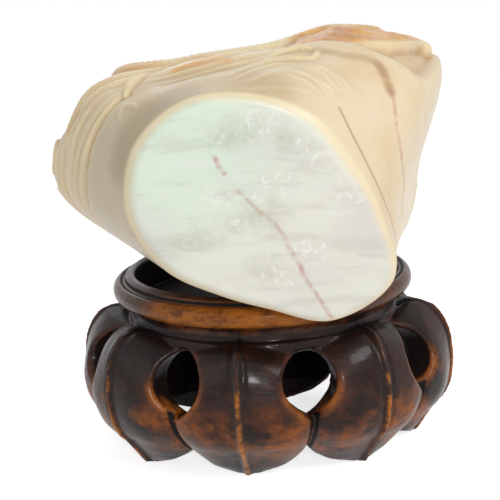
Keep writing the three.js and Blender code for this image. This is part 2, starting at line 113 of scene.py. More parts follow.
# The stone, from the same outlines as its CAD solid.
STONE_HEIGHT = 92
STONE_WIDTH = 102
STONE_TILT = 6
STONE_TURN = -3
STONE_OUTLINE_SHARES = [
    (0, (0.5, 0.435, 0.47, 0.515, 0.585, 0.6, 0.56, 0.485, 0.42, 0.44, 0.59, 0.65)),
    (0.15, (0.61, 0.64, 0.62, 0.59, 0.65, 0.78, 0.77, 0.58, 0.46, 0.44, 0.53, 0.65)),
    (0.33, (0.7, 0.87, 0.75, 0.625, 0.68, 0.93, 0.985, 0.68, 0.58, 0.56, 0.61, 0.7)),
    (0.52, (0.76, 0.98, 0.76, 0.575, 0.625, 0.925, 1.07, 0.79, 0.7, 0.66, 0.71, 0.77)),
    (0.72, (0.76, 0.94, 0.68, 0.49, 0.52, 0.78, 0.98, 0.83, 0.77, 0.7, 0.76, 0.79)),
    (0.88, (0.6, 0.71, 0.52, 0.37, 0.4, 0.6, 0.74, 0.71, 0.65, 0.58, 0.62, 0.63)),
    (0.96, (0.39, 0.45, 0.34, 0.25, 0.27, 0.39, 0.48, 0.47, 0.43, 0.38, 0.41, 0.41)),
    (0.99, (0.2, 0.23, 0.18, 0.14, 0.15, 0.21, 0.25, 0.24, 0.22, 0.2, 0.21, 0.21)),
]
FOOT_ROUND = 2.2
GROUND_DEPTH = 3.2

# The camera, set from the middle of the stand.
CAMERA_PLACE = (0, -328.9, 119.7)
CAMERA_PITCH = 11.8
CAMERA_YAW = -0.49
CAMERA_ROLL = -3
SENSOR_WIDTH = 36
FOCAL_LENGTH = 90.36


# Small helpers.

def lerp(a, b, share):
    return a + (b - a) * share


def smooth_step(value, low, high):
    share = np.clip((value - low) / (high - low), 0, 1)
    return share * share * (3 - 2 * share)


def smooth_max(a, b, width):
    blend = np.maximum(width - np.abs(a - b), 0) / width
    return np.maximum(a, b) + blend * blend * width / 4


def smooth_min(a, b, width):
    return -smooth_max(-a, -b, width)


def spline(points, shares, closed=False):
    """A centripetal Catmull-Rom curve through the points, at shares of its spans."""
    points = np.asarray(points, float)
    count = len(points)
    spans = count if closed else count - 1
    places = np.clip(np.asarray(shares, float), 0, 1) * spans
    span = np.minimum(places.astype(int), spans - 1)
    weight = (places - span).reshape((-1,) + (1,) * (points.ndim - 1))
    if closed:
        p0, p1, p2, p3 = (points[(span + step) % count] for step in (-1, 0, 1, 2))
    else:
        before, after = 2 * points[0] - points[1], 2 * points[-1] - points[-2]
        longer = np.concatenate([[before], points, [after]])
        p0, p1, p2, p3 = (longer[span + step] for step in range(4))
    d0, d1, d2 = (
        np.sqrt(np.linalg.norm(b - a, axis=-1, keepdims=True)) + 1e-9
        for a, b in ((p0, p1), (p1, p2), (p2, p3))
    )
    start = ((p1 - p0) / d0 - (p2 - p0) / (d0 + d1) + (p2 - p1) / d1) * d1
    end = ((p2 - p1) / d1 - (p3 - p1) / (d1 + d2) + (p3 - p2) / d2) * d1
    square = 3 * (p2 - p1) - 2 * start - end
    cube = 2 * (p1 - p2) + start + end
    return p1 + weight * (start + weight * (square + weight * cube))


def lattice_noise(points, length, seed):
    """Smooth noise from -1 to 1 with features of a length, the same on each run."""
    side = 24
    lattice = np.random.RandomState(seed).uniform(-1, 1, (side, side, side))
    places = points / length + side
    cell = np.floor(places).astype(int)
    part = places - cell
    part = part * part * (3 - 2 * part)
    total = np.zeros(len(points))
    for corner in np.ndindex(2, 2, 2):
        at = (cell + corner) % side
        weight = np.prod(np.where(np.array(corner) == 1, part, 1 - part), axis=1)
        total += weight * lattice[at[:, 0], at[:, 1], at[:, 2]]
    return total


def rise_and_fall(value, rise, fall):
    """1 between two edges, each given by where it starts and ends."""
    return smooth_step(value, *rise) * (1 - smooth_step(value, *fall))


def turned(degrees, axis):
    return Matrix.Rotation(math.radians(degrees), 4, axis)


def add_object(name, data):
    item = bpy.data.objects.new(name, data)
    bpy.context.scene.collection.objects.link(item)
    return item


def make_piece(name, points, faces, attributes, material, body, node):
    """A piece from points in millimetres in the object's frame and rows of corner numbers."""
    mesh = bpy.data.meshes.new(name)
    corners = [face for rows in faces for face in rows.tolist()]
    mesh.from_pydata((points * METRES).tolist(), [], corners)
    mesh.polygons.foreach_set("use_smooth", [True] * len(corners))
    for label, values in attributes.items():
        mesh.attributes.new(label, "FLOAT", "POINT")
        mesh.attributes[label].data.foreach_set("value", values.astype(np.float32))
    mesh.materials.append(material)
    piece = add_object(name, mesh)
    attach(piece, body)
    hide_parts(node)


# The stand's shape, as a signed distance that is negative in the wood.

STAND_HEIGHT = SKIRT_HEIGHT + RIM_HEIGHT
RECESS_FLOOR = STAND_HEIGHT - RECESS_DEPTH
GROOVE_RADIUS = RECESS_RADIUS + LIP_WIDTH
GROOVE_HEIGHT = STAND_HEIGHT - GROOVE_DEPTH
BEAD_MIDDLE = GROOVE_HEIGHT - BEAD_HEIGHT / 2
BEAD_BOTTOM = BEAD_MIDDLE - BEAD_HEIGHT / 2
NECK_BAND_TOP = SKIRT_HEIGHT + NECK_BAND_HEIGHT
PETAL_ANGLE = 360 / PETAL_COUNT
TABLE_STEP = 0.25
TABLE_REACH = STAND_WIDTH / 2 + 2 * OVERRUN
TABLE_LOW = -2 * OVERRUN
TABLE_HIGH = STAND_HEIGHT + 2 * OVERRUN
AWAY_STEPS = 25


def polygon_distance(outline, across, up):
    """Signed distance from a plane's points to a closed outline, negative inside it."""
    nearest = np.full(across.shape, np.inf)
    inside = np.zeros(across.shape, bool)
    for a, b in zip(outline, np.roll(outline, -1, axis=0)):
        edge = b - a
        length = edge @ edge
        if length == 0:
            continue
        share = ((across - a[0]) * edge[0] + (up - a[1]) * edge[1]) / length
        share = np.clip(share, 0, 1)
        gap = np.hypot(across - a[0] - share * edge[0], up - a[1] - share * edge[1])
        nearest = np.minimum(nearest, gap)
        if edge[1] != 0:
            crosses = (a[1] > up) != (b[1] > up)
            inside ^= crosses & (across < a[0] + (up - a[1]) * edge[0] / edge[1])
    return np.where(inside, -nearest, nearest)


def mirrored(outline):
    """A half outline from top to bottom, closed by its own mirror image over the axis."""
    outline = np.asarray(outline, float)
    return np.concatenate([outline, outline[::-1] * (-1, 1)])


def distance_table(outline):
    across, up = np.meshgrid(
        np.arange(-TABLE_STEP, TABLE_REACH, TABLE_STEP),
        np.arange(TABLE_LOW, TABLE_HIGH, TABLE_STEP),
        indexing="ij",
    )
    return polygon_distance(outline, across, up)


def look_up(table, across, up, level=...):
    """Values of a distance table, or of levels in a stack of them, between its points."""
    column = np.clip(across / TABLE_STEP + 1, 0, table.shape[-2] - 1.001)
    row = np.clip((up - TABLE_LOW) / TABLE_STEP, 0, table.shape[-1] - 1.001)
    c, r = column.astype(int), row.astype(int)
    column, row = column - c, row - r
    low = lerp(table[level, c, r], table[level, c + 1, r], column)
    high = lerp(table[level, c, r + 1], table[level, c + 1, r + 1], column)
    return lerp(low, high, row)


def arc(centre_r, centre_z, reach_r, reach_z, start, end, steps=12):
    angles = np.radians(np.linspace(start, end, steps))
    places = centre_r + reach_r * np.cos(angles), centre_z + reach_z * np.sin(angles)
    return np.stack(places, axis=1)


def rim_outline():
    neck_middle = (BEAD_BOTTOM + NECK_BAND_TOP) / 2
    band = NECK_RADIUS + NECK_BAND_WIDTH
    band_edge = NECK_RADIUS + NECK_BAND_WIDTH / 3
    neck = [
        (SKIRT_TOP_RADIUS, SKIRT_HEIGHT - FLOOR_THICKNESS),
        (band, SKIRT_HEIGHT - NECK_BAND_HEIGHT / 2),
        (band, NECK_BAND_TOP - NECK_BAND_HEIGHT / 3),
        (band_edge, NECK_BAND_TOP),
        (NECK_RADIUS, neck_middle - NECK_BAND_HEIGHT / 2),
        (band_edge, neck_middle + NECK_BAND_HEIGHT / 2),
        ((NECK_RADIUS + GROOVE_RADIUS) / 2, BEAD_BOTTOM - NECK_BAND_HEIGHT / 4),
    ]
    bead = arc(GROOVE_RADIUS, BEAD_MIDDLE, BEAD_REACH, BEAD_HEIGHT / 2, -80, 80)
    groove = [
        (GROOVE_RADIUS, GROOVE_HEIGHT - GROOVE_DEPTH / 4),
        (GROOVE_RADIUS - LIP_WIDTH / 4, GROOVE_HEIGHT + GROOVE_DEPTH / 2),
    ]
    lip_top = STAND_HEIGHT - LIP_ROUND
    lip = arc(RECESS_RADIUS + LIP_ROUND, lip_top, LIP_ROUND, LIP_ROUND, 70, 180)
    recess = [(RECESS_RADIUS, RECESS_FLOOR)]
    return mirrored(np.concatenate([neck, bead, groove, lip, recess]))


def relief_share(away):
    rib = RIB_RELIEF_SHARE * (1 - away) ** RIB_FALL_SHARE
    lobes = (1 - RIB_RELIEF_SHARE) * (1 - away ** LOBE_SHOULDER_SHARE)
    return rib + lobes


def skirt_outline(away):
    """The skirt's outline at a place from 0 on a rib to 1 in a groove."""
    shares = np.linspace(0, 1, 45)
    rib, groove = spline(RIB_SHARES, shares), spline(GROOVE_SHARES, shares)
    reach = lerp(groove[:, 0], rib[:, 0], relief_share(away)) * STAND_WIDTH / 2
    foot_weight = lerp((1 - away) ** FOOT_NARROW_SHARE, 1 - away ** 3, LOBE_FULL_SHARE)
    lift = lerp(groove[:, 1], rib[:, 1], foot_weight) * SKIRT_HEIGHT
    return mirrored(np.stack([reach, lift], axis=1))


def cavity_outline():
    shares = np.array(GROOVE_SHARES)
    lift = smooth_step(shares[:, 1], 0, MOUTH_HEIGHT_SHARE)
    wall = lerp(MOUTH_THICKNESS, WALL_THICKNESS, lift)
    places = np.stack([shares[:, 0] * STAND_WIDTH / 2 - wall, shares[:, 1] * SKIRT_HEIGHT], 1)
    ceiling = RECESS_FLOOR - FLOOR_THICKNESS
    walls = places[places[:, 1] < ceiling - LIP_ROUND]
    shoulder = [(walls[0, 0] - LIP_ROUND, ceiling)]
    mouth = [(walls[-1, 0], -OVERRUN)]
    return mirrored(np.concatenate([shoulder, walls, mouth]))


def piercing_outline():
    """A teardrop: an arch over two sides that curve in to a point."""
    half = PIERCING_WIDTH / 2
    top = SKIRT_HEIGHT - PIERCING_DROP
    springing = top - half
    tip = top - PIERCING_HEIGHT
    swell = (springing - tip) / 2
    t = np.linspace(0, 1, 16)[:, None]
    corner = np.array([half, springing - swell])
    start, end = np.array([half, springing]), np.array([0, tip])
    side = (1 - t) ** 2 * start + 2 * t * (1 - t) * corner + t ** 2 * end
    return mirrored(np.concatenate([arc(0, springing, half, half, 90, 0), side]))


RIM_TABLE = distance_table(rim_outline())
CAVITY_TABLE = distance_table(cavity_outline())
PIERCING_TABLE = distance_table(piercing_outline())
SKIRT_TABLE = np.stack([distance_table(skirt_outline(away)) for away in np.linspace(0, 1, AWAY_STEPS)])


def away_share(azimuth):
    """From 0 on a rib to 1 in a groove."""
    turns = (azimuth - FRONT_RIB_AZIMUTH) / PETAL_ANGLE
    return np.abs(turns - np.round(turns)) * 2


def stretch_at(height):
    lift = np.clip(height / SKIRT_HEIGHT, 0, 1)
    return lerp(SKIRT_STRETCH, FOOT_STRETCH, (1 - lift) ** 3)


def skirt_place(points):
    """How far a place is from the axis and from the nearest rib, once the stretch is undone."""
    x, y = points[:, 0], points[:, 1] / stretch_at(points[:, 2])
    return np.hypot(x, y), away_share(np.degrees(np.arctan2(x, -y)))


def skirt_field(points):
    radius, away = skirt_place(points)
    level = away * (AWAY_STEPS - 1)
    low = np.minimum(level.astype(int), AWAY_STEPS - 2)
    near, far = (look_up(SKIRT_TABLE, radius, points[:, 2], at) for at in (low, low + 1))
    return lerp(near, far, level - low)


def piercing_field(points):
    x, y = points[:, 0], points[:, 1]
    turns = (np.degrees(np.arctan2(x, -y)) - FRONT_RIB_AZIMUTH) / PETAL_ANGLE
    azimuth = np.radians(FRONT_RIB_AZIMUTH + (np.floor(turns) + 0.5) * PETAL_ANGLE)
    aside = x * np.cos(azimuth) + y * np.sin(azimuth)
    outward = x * np.sin(azimuth) - y * np.cos(azimuth)
    drop = look_up(PIERCING_TABLE, np.abs(aside), points[:, 2])
    return np.maximum(drop, NECK_RADIUS - WALL_THICKNESS - outward)


def rib_distance(radius, away):
    """How far round the skirt a place is from the nearest rib's middle line."""
    return away / 2 * np.radians(PETAL_ANGLE) * radius


def petal_swell(points):
    """How much fuller the hand-cut petals are than their plain outline: a crisp line along the
    rib, a swelling lobe on each side of it, and a narrow cut between two petals."""
    radius, away = skirt_place(points)
    rib_gap = rib_distance(radius, away)
    groove_gap = rib_distance(radius, 1 - away)
    height = points[:, 2]
    low = rise_and_fall(height, *LOBE_HEIGHTS)
    line = RIB_LINE_HEIGHT * np.exp(-(rib_gap / RIB_LINE_WIDTH) ** 2)
    line = line * (1 - smooth_step(height, SKIRT_HEIGHT, NECK_BAND_TOP))
    valley = RIB_VALLEY_DEPTH * np.exp(-((rib_gap - 2 * RIB_LINE_WIDTH) / RIB_LINE_WIDTH) ** 2)
    lobe = LOBE_SWELL * np.sin(math.pi * np.clip(away, 0, 1)) ** 2
    cut = GROOVE_CUT_DEPTH * np.exp(-(groove_gap / GROOVE_CUT_WIDTH) ** 2)
    outer = smooth_step(radius, NECK_RADIUS - OVERRUN, NECK_RADIUS)
    return outer * (line - valley + (lobe - cut) * low)


def stand_field(points):
    height = points[:, 2]
    reach = np.hypot(points[:, 0], points[:, 1] / RIM_STRETCH)
    rim = look_up(RIM_TABLE, reach, height)
    line_gap = np.hypot(reach - GROOVE_RADIUS + RIM_LINE_SINK, height - GROOVE_HEIGHT - RIM_LINE_SINK)
    rim = smooth_max(rim, RIM_LINE_RADIUS - line_gap, RIM_LINE_RADIUS / 2)
    wood = smooth_min(skirt_field(points) - petal_swell(points), rim, JOIN_ROUND)
    wood = smooth_max(wood, -look_up(CAVITY_TABLE, skirt_place(points)[0], height), JOIN_ROUND)
    wood = smooth_max(wood, -piercing_field(points), PIERCING_ROUND)
    carved = 1 - smooth_step(height, SKIRT_HEIGHT, NECK_BAND_TOP + NECK_BAND_HEIGHT)
    marks = lattice_noise(points, TOOL_MARK_LENGTH, 3) + lattice_noise(points, TOOL_MARK_LENGTH / 3, 4) / 3
    return np.maximum(wood + TOOL_MARK * marks * carved, -height)


def field_slope(field, points, step):
    slopes = []
    for axis in np.eye(3) * step:
        slopes.append((field(points + axis) - field(points - axis)) / (2 * step))
    return np.stack(slopes, axis=1)


def skin_over(field, low, high, cell):
    """Points and quads of the skin where a field passes through zero, by surface nets."""
    axes = [np.arange(a - cell, b + 2 * cell, cell) for a, b in zip(low, high)]
    counts = [len(axis) for axis in axes]
    values = np.empty(counts)
    for level, height in enumerate(axes[2]):
        x, y = np.meshgrid(axes[0], axes[1], indexing="ij")
        places = np.stack([x.ravel(), y.ravel(), np.full(x.size, height)], axis=1)
        values[:, :, level] = field(places).reshape(x.shape)
    inside = values < 0
    cells = [count - 1 for count in counts]
    filled = np.zeros(cells, int)
    for dx, dy, dz in np.ndindex(2, 2, 2):
        filled += inside[dx:dx + cells[0], dy:dy + cells[1], dz:dz + cells[2]]
    mixed = (filled > 0) & (filled < 8)
    number = np.full(cells, -1)
    number[mixed] = np.arange(mixed.sum())
    places = np.argwhere(mixed)
    total, hits = np.zeros((len(places), 3)), np.zeros(len(places))
    for corner in np.ndindex(2, 2, 2):
        for axis in np.flatnonzero(np.array(corner) == 0):
            way = np.eye(3, dtype=int)[axis]
            a, b = (values[tuple((places + end).T)] for end in (corner, corner + way))
            crossed = (a < 0) != (b < 0)
            share = np.where(crossed, a / np.where(crossed, a - b, 1), 0)
            total += (corner + np.outer(share, way)) * crossed[:, None]
            hits += crossed
    points = np.array([axis[0] for axis in axes]) + (places + total / hits[:, None]) * cell
    quads = []
    for axis in range(3):
        first = [slice(1, -1)] * 3
        second = [slice(1, -1)] * 3
        first[axis], second[axis] = slice(0, -1), slice(1, None)
        a, b = inside[tuple(first)], inside[tuple(second)]
        offset = np.ones(3, int)
        offset[axis] = 0
        edges = np.argwhere(a != b) + offset
        u, v = np.eye(3, dtype=int)[(axis + 1) % 3], np.eye(3, dtype=int)[(axis + 2) % 3]
        ring = [number[tuple((edges - step).T)] for step in (u + v, v, 0 * u, u)]
        quad = np.stack(ring, axis=1)
        leaving = a[tuple((edges - offset).T)]
        quads.append(np.where(leaving[:, None], quad, quad[:, ::-1]))
    return points, np.concatenate(quads)


def settle(field, points, cell, rounds=2):
    """Moves the points onto the skin itself."""
    for _ in range(rounds):
        slope = field_slope(field, points, cell / 4)
        value = field(points)
        move = value / np.maximum((slope ** 2).sum(1), 0.2)
        move = np.clip(move, -cell / 2, cell / 2)
        points = points - slope * move[:, None]
    return points


# Where the wood is worn, and its deep and hidden places, where polish and dirt lie and where shade is
# painted into the colour.
WEAR_REACH = 1.4
HOLLOW_REACH = 3
HELD_AZIMUTH = -10
RIB_WEAR_HEIGHTS = (22, 31)
PIERCING_WEAR_HEIGHTS = (22, 30)
PIERCING_WEAR_REACH = (0.4, 2.2)
BELLY_WEAR_HEIGHTS = ((2, 8), (15, 24))
# The band of the neck under the bead is darkened with painted shade.
NECK_DARK_HEIGHTS = (26, 34)


def stand_attributes(points):
    slope = field_slope(stand_field, points, STAND_CELL / 2)
    outward = slope / np.maximum(np.linalg.norm(slope, axis=1, keepdims=True), 1e-6)
    within = -stand_field(points - outward * WEAR_REACH) / WEAR_REACH
    without = stand_field(points + outward * HOLLOW_REACH) / HOLLOW_REACH
    radius, away = skirt_place(points)
    height = points[:, 2]
    skirt = 1 - smooth_step(height, SKIRT_HEIGHT, NECK_BAND_TOP)
    outer = smooth_step(radius, NECK_RADIUS - OVERRUN, NECK_RADIUS)
    inner = smooth_step(-outward[:, 0] * points[:, 0] - outward[:, 1] * points[:, 1], 0, OVERRUN)
    face = skirt * outer * (1 - inner)
    rib_gap = rib_distance(radius, away)
    rib = (1 - smooth_step(rib_gap, RIB_LINE_WIDTH / 4, RIB_LINE_WIDTH * 1.25)) * face
    rib = rib * (1 - smooth_step(height, *RIB_WEAR_HEIGHTS))
    reach = np.hypot(points[:, 0], points[:, 1] / RIM_STRETCH)
    bead_gap = np.hypot((reach - GROOVE_RADIUS) / BEAD_REACH, (height - BEAD_MIDDLE) / BEAD_HEIGHT * 2)
    bead = 1 - smooth_step(np.abs(bead_gap - 1), 0.1, 0.5)
    recess = (1 - smooth_step(reach, RECESS_RADIUS, RECESS_RADIUS + LIP_ROUND / 2)) * (height > SKIRT_HEIGHT)
    azimuth = np.degrees(np.arctan2(points[:, 0], -points[:, 1]))
    held = smooth_step(np.cos(np.radians(2 * (azimuth - HELD_AZIMUTH))), 0.1, 0.9)
    piercing = 1 - smooth_step(np.abs(piercing_field(points)), *PIERCING_WEAR_REACH)
    lower = 1 - smooth_step(height, *PIERCING_WEAR_HEIGHTS)
    neck = rise_and_fall(height, NECK_DARK_HEIGHTS, (NECK_BAND_TOP, BEAD_BOTTOM))
    return {
        "wear": np.clip(1 - within, 0, 1),
        # hollow, neck, underside and recess mark where painted shade and dirt darken the wood.
        "hollow": np.clip(1 - without, 0, 1),
        "rib": rib,
        "bead": bead * lerp(0.15, 1, held),
        "piercing": piercing * lower * face,
        "belly": rise_and_fall(height, *BELLY_WEAR_HEIGHTS) * face,
        "neck": neck * (1 - smooth_step(radius, NECK_RADIUS + OVERRUN, STAND_WIDTH / 2)),
        "recess": recess,
        "underside": inner * skirt,
    }


def make_stand(material):
    half = STAND_WIDTH / 2
    low, high = (-half, -half, -STAND_CELL), (half, half, STAND_HEIGHT)
    points, quads = skin_over(stand_field, low, high, STAND_CELL)
    points = settle(stand_field, points, STAND_CELL)
    points[:, 2] = np.maximum(points[:, 2], 0)
    make_piece(
        "hardwood_stand", points + STAND_CENTRE, [quads], stand_attributes(points),
        material, "stand", "wood_stand",
    )


# The stone's smooth block, standing on its foot, and how far its mesh runs round and over it.
GIRTH_SHARE = 0.82
FLANK_SHARE = 1.35
FOOT_SHARE = 0.15625
CROWN_SHARE = 0.1


def stone_block():
    """Rows of points from the middle of the foot up over the flank to the crown."""
    around = int(round(math.pi * STONE_WIDTH * GIRTH_SHARE / STONE_STEP))
    turns = np.arange(around) / around
    angles = np.arange(12) / 12 * 2 * math.pi
    levels = []
    for height, reaches in STONE_OUTLINE_SHARES:
        reach = np.array(reaches) * STONE_WIDTH / 2
        ring = spline(np.stack([reach * np.cos(angles), -reach * np.sin(angles)], 1), turns, True)
        levels.append(np.column_stack([ring, np.full(around, height * STONE_HEIGHT)]))
    levels = np.array(levels)
    steps = int(round(STONE_HEIGHT * FLANK_SHARE / STONE_STEP))
    shares = np.linspace(0, 1, steps)
    flank = spline(levels, shares)
    below = np.maximum(FOOT_ROUND - flank[:, :, 2:], 0)
    inset = FOOT_ROUND - np.sqrt(np.maximum(FOOT_ROUND ** 2 - below ** 2, 0))
    reach = np.linalg.norm(flank[:, :, :2], axis=2, keepdims=True)
    flank[:, :, :2] *= 1 - inset / np.maximum(reach, 1)
    foot_rings = int(round(STONE_WIDTH * FOOT_SHARE / STONE_STEP))
    foot = flank[0] * np.linspace(1 / foot_rings, 1, foot_rings)[:-1, None, None]
    crown_rings = int(round(STONE_WIDTH * CROWN_SHARE / STONE_STEP))
    fall = np.linspace(0, 1, crown_rings + 1)[1:-1, None, None]
    crown = flank[-1] * (1 - fall)
    crown[:, :, 2] = lerp(flank[-1, 0, 2], STONE_HEIGHT, fall[:, :, 0])
    return np.concatenate([foot, flank, crown])


def grid_normals(grid):
    east = np.roll(grid, -1, axis=1) - np.roll(grid, 1, axis=1)
    north = np.gradient(grid, axis=0)
    normals = np.cross(north, east)
    length = np.linalg.norm(normals, axis=2, keepdims=True)
    return normals / np.maximum(length, 1e-9)


STAND_LOW, STAND_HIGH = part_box("wood_stand")
STAND_CENTRE = np.array([(STAND_LOW.x + STAND_HIGH.x) / 2, (STAND_LOW.y + STAND_HIGH.y) / 2, 0]) / METRES

block = stone_block()
GRID_SHAPE = block.shape[:2]
skin = block.reshape(-1, 3)
skin_normals = grid_normals(block).reshape(-1, 3)
COARSE = 3
coarse_rows = np.arange(len(skin)).reshape(GRID_SHAPE)[::COARSE, ::COARSE].ravel()
relief = np.zeros(len(skin))


# Places on the stone's skin, as shares: on the front by half widths from the middle and heights,
# and round the flank by turns from the right (+X) over the front (-Y) and heights.

def on_skin(starts, ways):
    """Where lines that start inside the stone come out of its skin."""
    found = []
    candidates, normals = skin[coarse_rows], skin_normals[coarse_rows]
    for start, way in zip(starts, ways):
        offset = candidates - start
        along = offset @ way
        gap = (offset ** 2).sum(1) - along ** 2
        nearest = np.argmin(np.where(along > 0, gap, np.inf))
        normal = normals[nearest]
        reach = ((candidates[nearest] - start) @ normal) / (way @ normal)
        found.append(start + way * reach)
    return np.array(found)


def smoothed(shares, steps):
    return spline(shares, np.linspace(0, 1, steps))


def front_path(shares, steps=24):
    places = smoothed(shares, steps)
    starts = np.stack([places[:, 0] * STONE_WIDTH / 2, 0 * places[:, 0], places[:, 1] * STONE_HEIGHT], 1)
    return on_skin(starts, np.tile((0.0, -1.0, 0.0), (len(starts), 1)))


def flank_path(shares, steps=24):
    places = smoothed(shares, steps)
    angle = places[:, 0] * 2 * math.pi
    starts = np.stack([0 * angle, 0 * angle, places[:, 1] * STONE_HEIGHT], 1)
    return on_skin(starts, np.stack([np.cos(angle), -np.sin(angle), 0 * angle], 1))


def near_path(path, reach):
    """The skin's points near a path: their numbers, gaps, shares along it and sides of it."""
    low, high = path.min(0) - reach, path.max(0) + reach
    near = np.flatnonzero(((skin > low) & (skin < high)).all(axis=1))
    spots = skin[near]
    best = np.full(len(near), np.inf)
    share, side = np.zeros(len(near)), np.ones(len(near))
    lengths = np.linalg.norm(np.diff(path, axis=0), axis=1)
    starts = np.concatenate([[0], np.cumsum(lengths)])
    for a, b, start, length in zip(path[:-1], path[1:], starts, lengths):
        way = (b - a) / max(length, 1e-9)
        along = np.clip((spots - a) @ way, 0, length)
        offset = spots - a - along[:, None] * way
        gap = np.linalg.norm(offset, axis=1)
        closer = gap < best
        best = np.where(closer, gap, best)
        share = np.where(closer, (start + along) / starts[-1], share)
        lean = (np.cross(skin_normals[near], way) * offset).sum(1)
        side = np.where(closer, np.sign(lean), side)
    return near, best, share, side, starts[-1]


def spread_along(share, values):
    """Values spread evenly along a path, at shares of it. One value alone holds for all of it."""
    values = np.atleast_1d(values)
    return np.interp(share, np.linspace(0, 1, len(values)), values)


def raise_ridge(path, radii, top, join, pattern=None):
    """A rounded ridge along a path, with its radii and the heights of its crest spread along it."""
    near, gap, share, side, length = near_path(path, max(radii))
    radius = spread_along(share, radii)
    crest = np.sqrt(np.maximum(radius ** 2 - gap ** 2, 0))
    height = spread_along(share, top) - radius + crest
    if pattern is not None:
        height = height + pattern(share * length, side * gap / radius)
    inside = gap < radius
    near, height = near[inside], height[inside]
    relief[near] = smooth_max(relief[near], height, join)


def cut_groove(path, radii, depth):
    """A rounded groove along a path, with radii spread along it."""
    near, gap, share, _, _ = near_path(path, max(radii))
    radius = spread_along(share, radii)
    relief[near] -= depth * np.clip(1 - (gap / np.maximum(radius, 1e-6)) ** 2, 0, 1) ** 1.5


def path_mask(path, solid, soft):
    """1 within a distance of a path, falling to 0 beyond it."""
    near, gap, _, _, _ = near_path(path, solid + soft)
    mask = np.zeros(len(skin))
    mask[near] = 1 - smooth_step(gap, solid, solid + soft)
    return mask


# The sunken ground of the carved front, and the raised amber skin beside it.
FACING_SHARES = (0.25, 0.7)
CARVED_SHARES = ((0.3, 0.38), (0.9, 0.97))
SKIN_SIDE_SHARES = (0.1, 0.2)
SKIN_EDGE_SHARES = [(0.14, 0.29), (0.36, 0.31), (0.5, 0.345), (0.62, 0.39), (0.72, 0.46), (0.8, 0.56)]
SKIN_RISE_SHARES = ((-0.01, 0.03), (0.2, 0.3))
SKIN_SINK = 0.5

# How uneven both are: each layer's height, the length of its features and its seed.
GROUND_ROUGHNESS = [(0.35, 5, 11)]
SKIN_ROUGHNESS = [(0.5, 4.5, 12), (0.3, 2.2, 13)]


def unevenness(layers):
    return sum(height * lattice_noise(skin, length, seed) for height, length, seed in layers)


facing = smooth_step(-skin_normals[:, 1], *FACING_SHARES)
height_share = skin[:, 2] / STONE_HEIGHT
across_share = skin[:, 0] / STONE_WIDTH * 2
over_edge = height_share - np.interp(across_share, *zip(*SKIN_EDGE_SHARES))
skin_side = facing * smooth_step(across_share, *SKIN_SIDE_SHARES)
skin_patch = skin_side * rise_and_fall(over_edge, *SKIN_RISE_SHARES)
carved = facing * rise_and_fall(height_share, *CARVED_SHARES) * (1 - skin_patch)
relief += (unevenness(GROUND_ROUGHNESS) - GROUND_DEPTH) * carved
relief += (unevenness(SKIN_ROUGHNESS) - SKIN_SINK) * skin_patch


# The dragon: a scaled body that winds round the front, a maned head, four clawed legs, a pearl.

SPINE_SHARES = [
    (0.42, 0.66), (0.34, 0.58), (0.2, 0.5), (0, 0.4), (-0.3, 0.37), (-0.62, 0.46), (-0.72, 0.62),
    (-0.52, 0.78), (-0.16, 0.86), (0.22, 0.85), (0.5, 0.76), (0.55, 0.64), (0.36, 0.6),
    (0.12, 0.64), (-0.04, 0.65),
]
SPINE_RADII = (0.8, 2.2, 3.4, 4.2, 4.8, 5, 5, 4.8, 4.4, 4, 3.8)
SCALE_LENGTH = 2
SCALE_RELIEF = 0.3
SCALE_ROWS = 7
FIN_PITCH = 2.6
FIN_LENGTH = 2.2

# How each kind of ridge rises: its radii and the heights of its crest, spread along its path,
# and how softly it joins what lies under it.
BODY_RISE = (SPINE_RADII, 0.2, 0.35)
FIN_RISE = ((1.1, 0.5), -0.6, 0.2)
LEG_RISE = ((3.4, 2.8, 2.1, 1.9), -0.1, 0.35)
CLAW_RISE = ((1.1, 0.9, 0.35), -0.5, 0.2)
HEAD_JOIN = 0.5
EYE_RISE = ((1.1, 1.1), 1.5, 0.1)
MANE_RISE = ((1.5, 1.2, 0.5), (0.4, 0.1, -1.6), 0.2)
HORN_RISE = ((1.6, 1.3, 1, 0.5), (1.2, 0.7, 0, -1.6), 0.2)
WHISKER_RISE = ((0.8, 0.7, 0.4), -0.6, 0.2)
PEARL_RISE = ((3.6, 3.6), 0.3, 0.2)
FRONT_CLOUD_RISE = ((0.4, 0.9, 1.1, 0.9, 0.5), -1.4, 0.2)
FLANK_CLOUD_RISE = ((0.4, 0.9, 1.1, 0.9, 0.5), (-0.4, 0.1, 0.15, 0.15, -0.3), 0.2)
HAIRPIN_RISE = ((0.5, 0.9, 1, 0.9, 0.5), (-0.5, 0.2, 0.3, 0.1, -0.6), 0.5)
TUFT_RISE = ((0.4, 0.8, 0.8, 0.3), (-0.4, 0.3, 0.25, -0.2), 0.4)
KNOT_RISE = ((0.8, 1.8, 1.7, 0.7), (0, 0.5, 0.4, -0.2), 0.9)
CURL_RISE = ((0.5, 1.1, 1, 0.4), (-0.4, 0.1, 0.1, -0.4), 0.9)

# Strands, leaves and flutes swell to a radius of their own between ends that are all alike.
STRAND_ENDS, STRAND_FALL_SHARE = (0.6, 0.5), 0.8
STRAND_RISE = ((-0.8, 0.05, 0.15, 0, -0.7), 0.7)
FLUTE_ENDS = (0.5, 0.6)
FLUTE_RISE = ((-0.3, 0.25, 0.25, -0.5), 0.7)
LEAF_RISE = ((-0.8, 0.1, 0.1, -0.8), 0.9)

# The radii and the depth of each kind of groove.
MOUTH_CUT = ((0.5, 0.9, 0.7), 1.4)
NOSTRIL_CUT = ((0.7, 0.7), 0.9)
STRAND_CUT = ((0.2, 0.5, 0.5, 0.3), 0.3)
FLUTE_CUT = ((0.5, 1.2, 1.2, 0.5), 0.5)
UNDERCUT = ((1.3, 1.1, 0.8, 0.4), 1.1)
SLIT_CUT = ((0.6, 0.7, 0.4), 1.6)

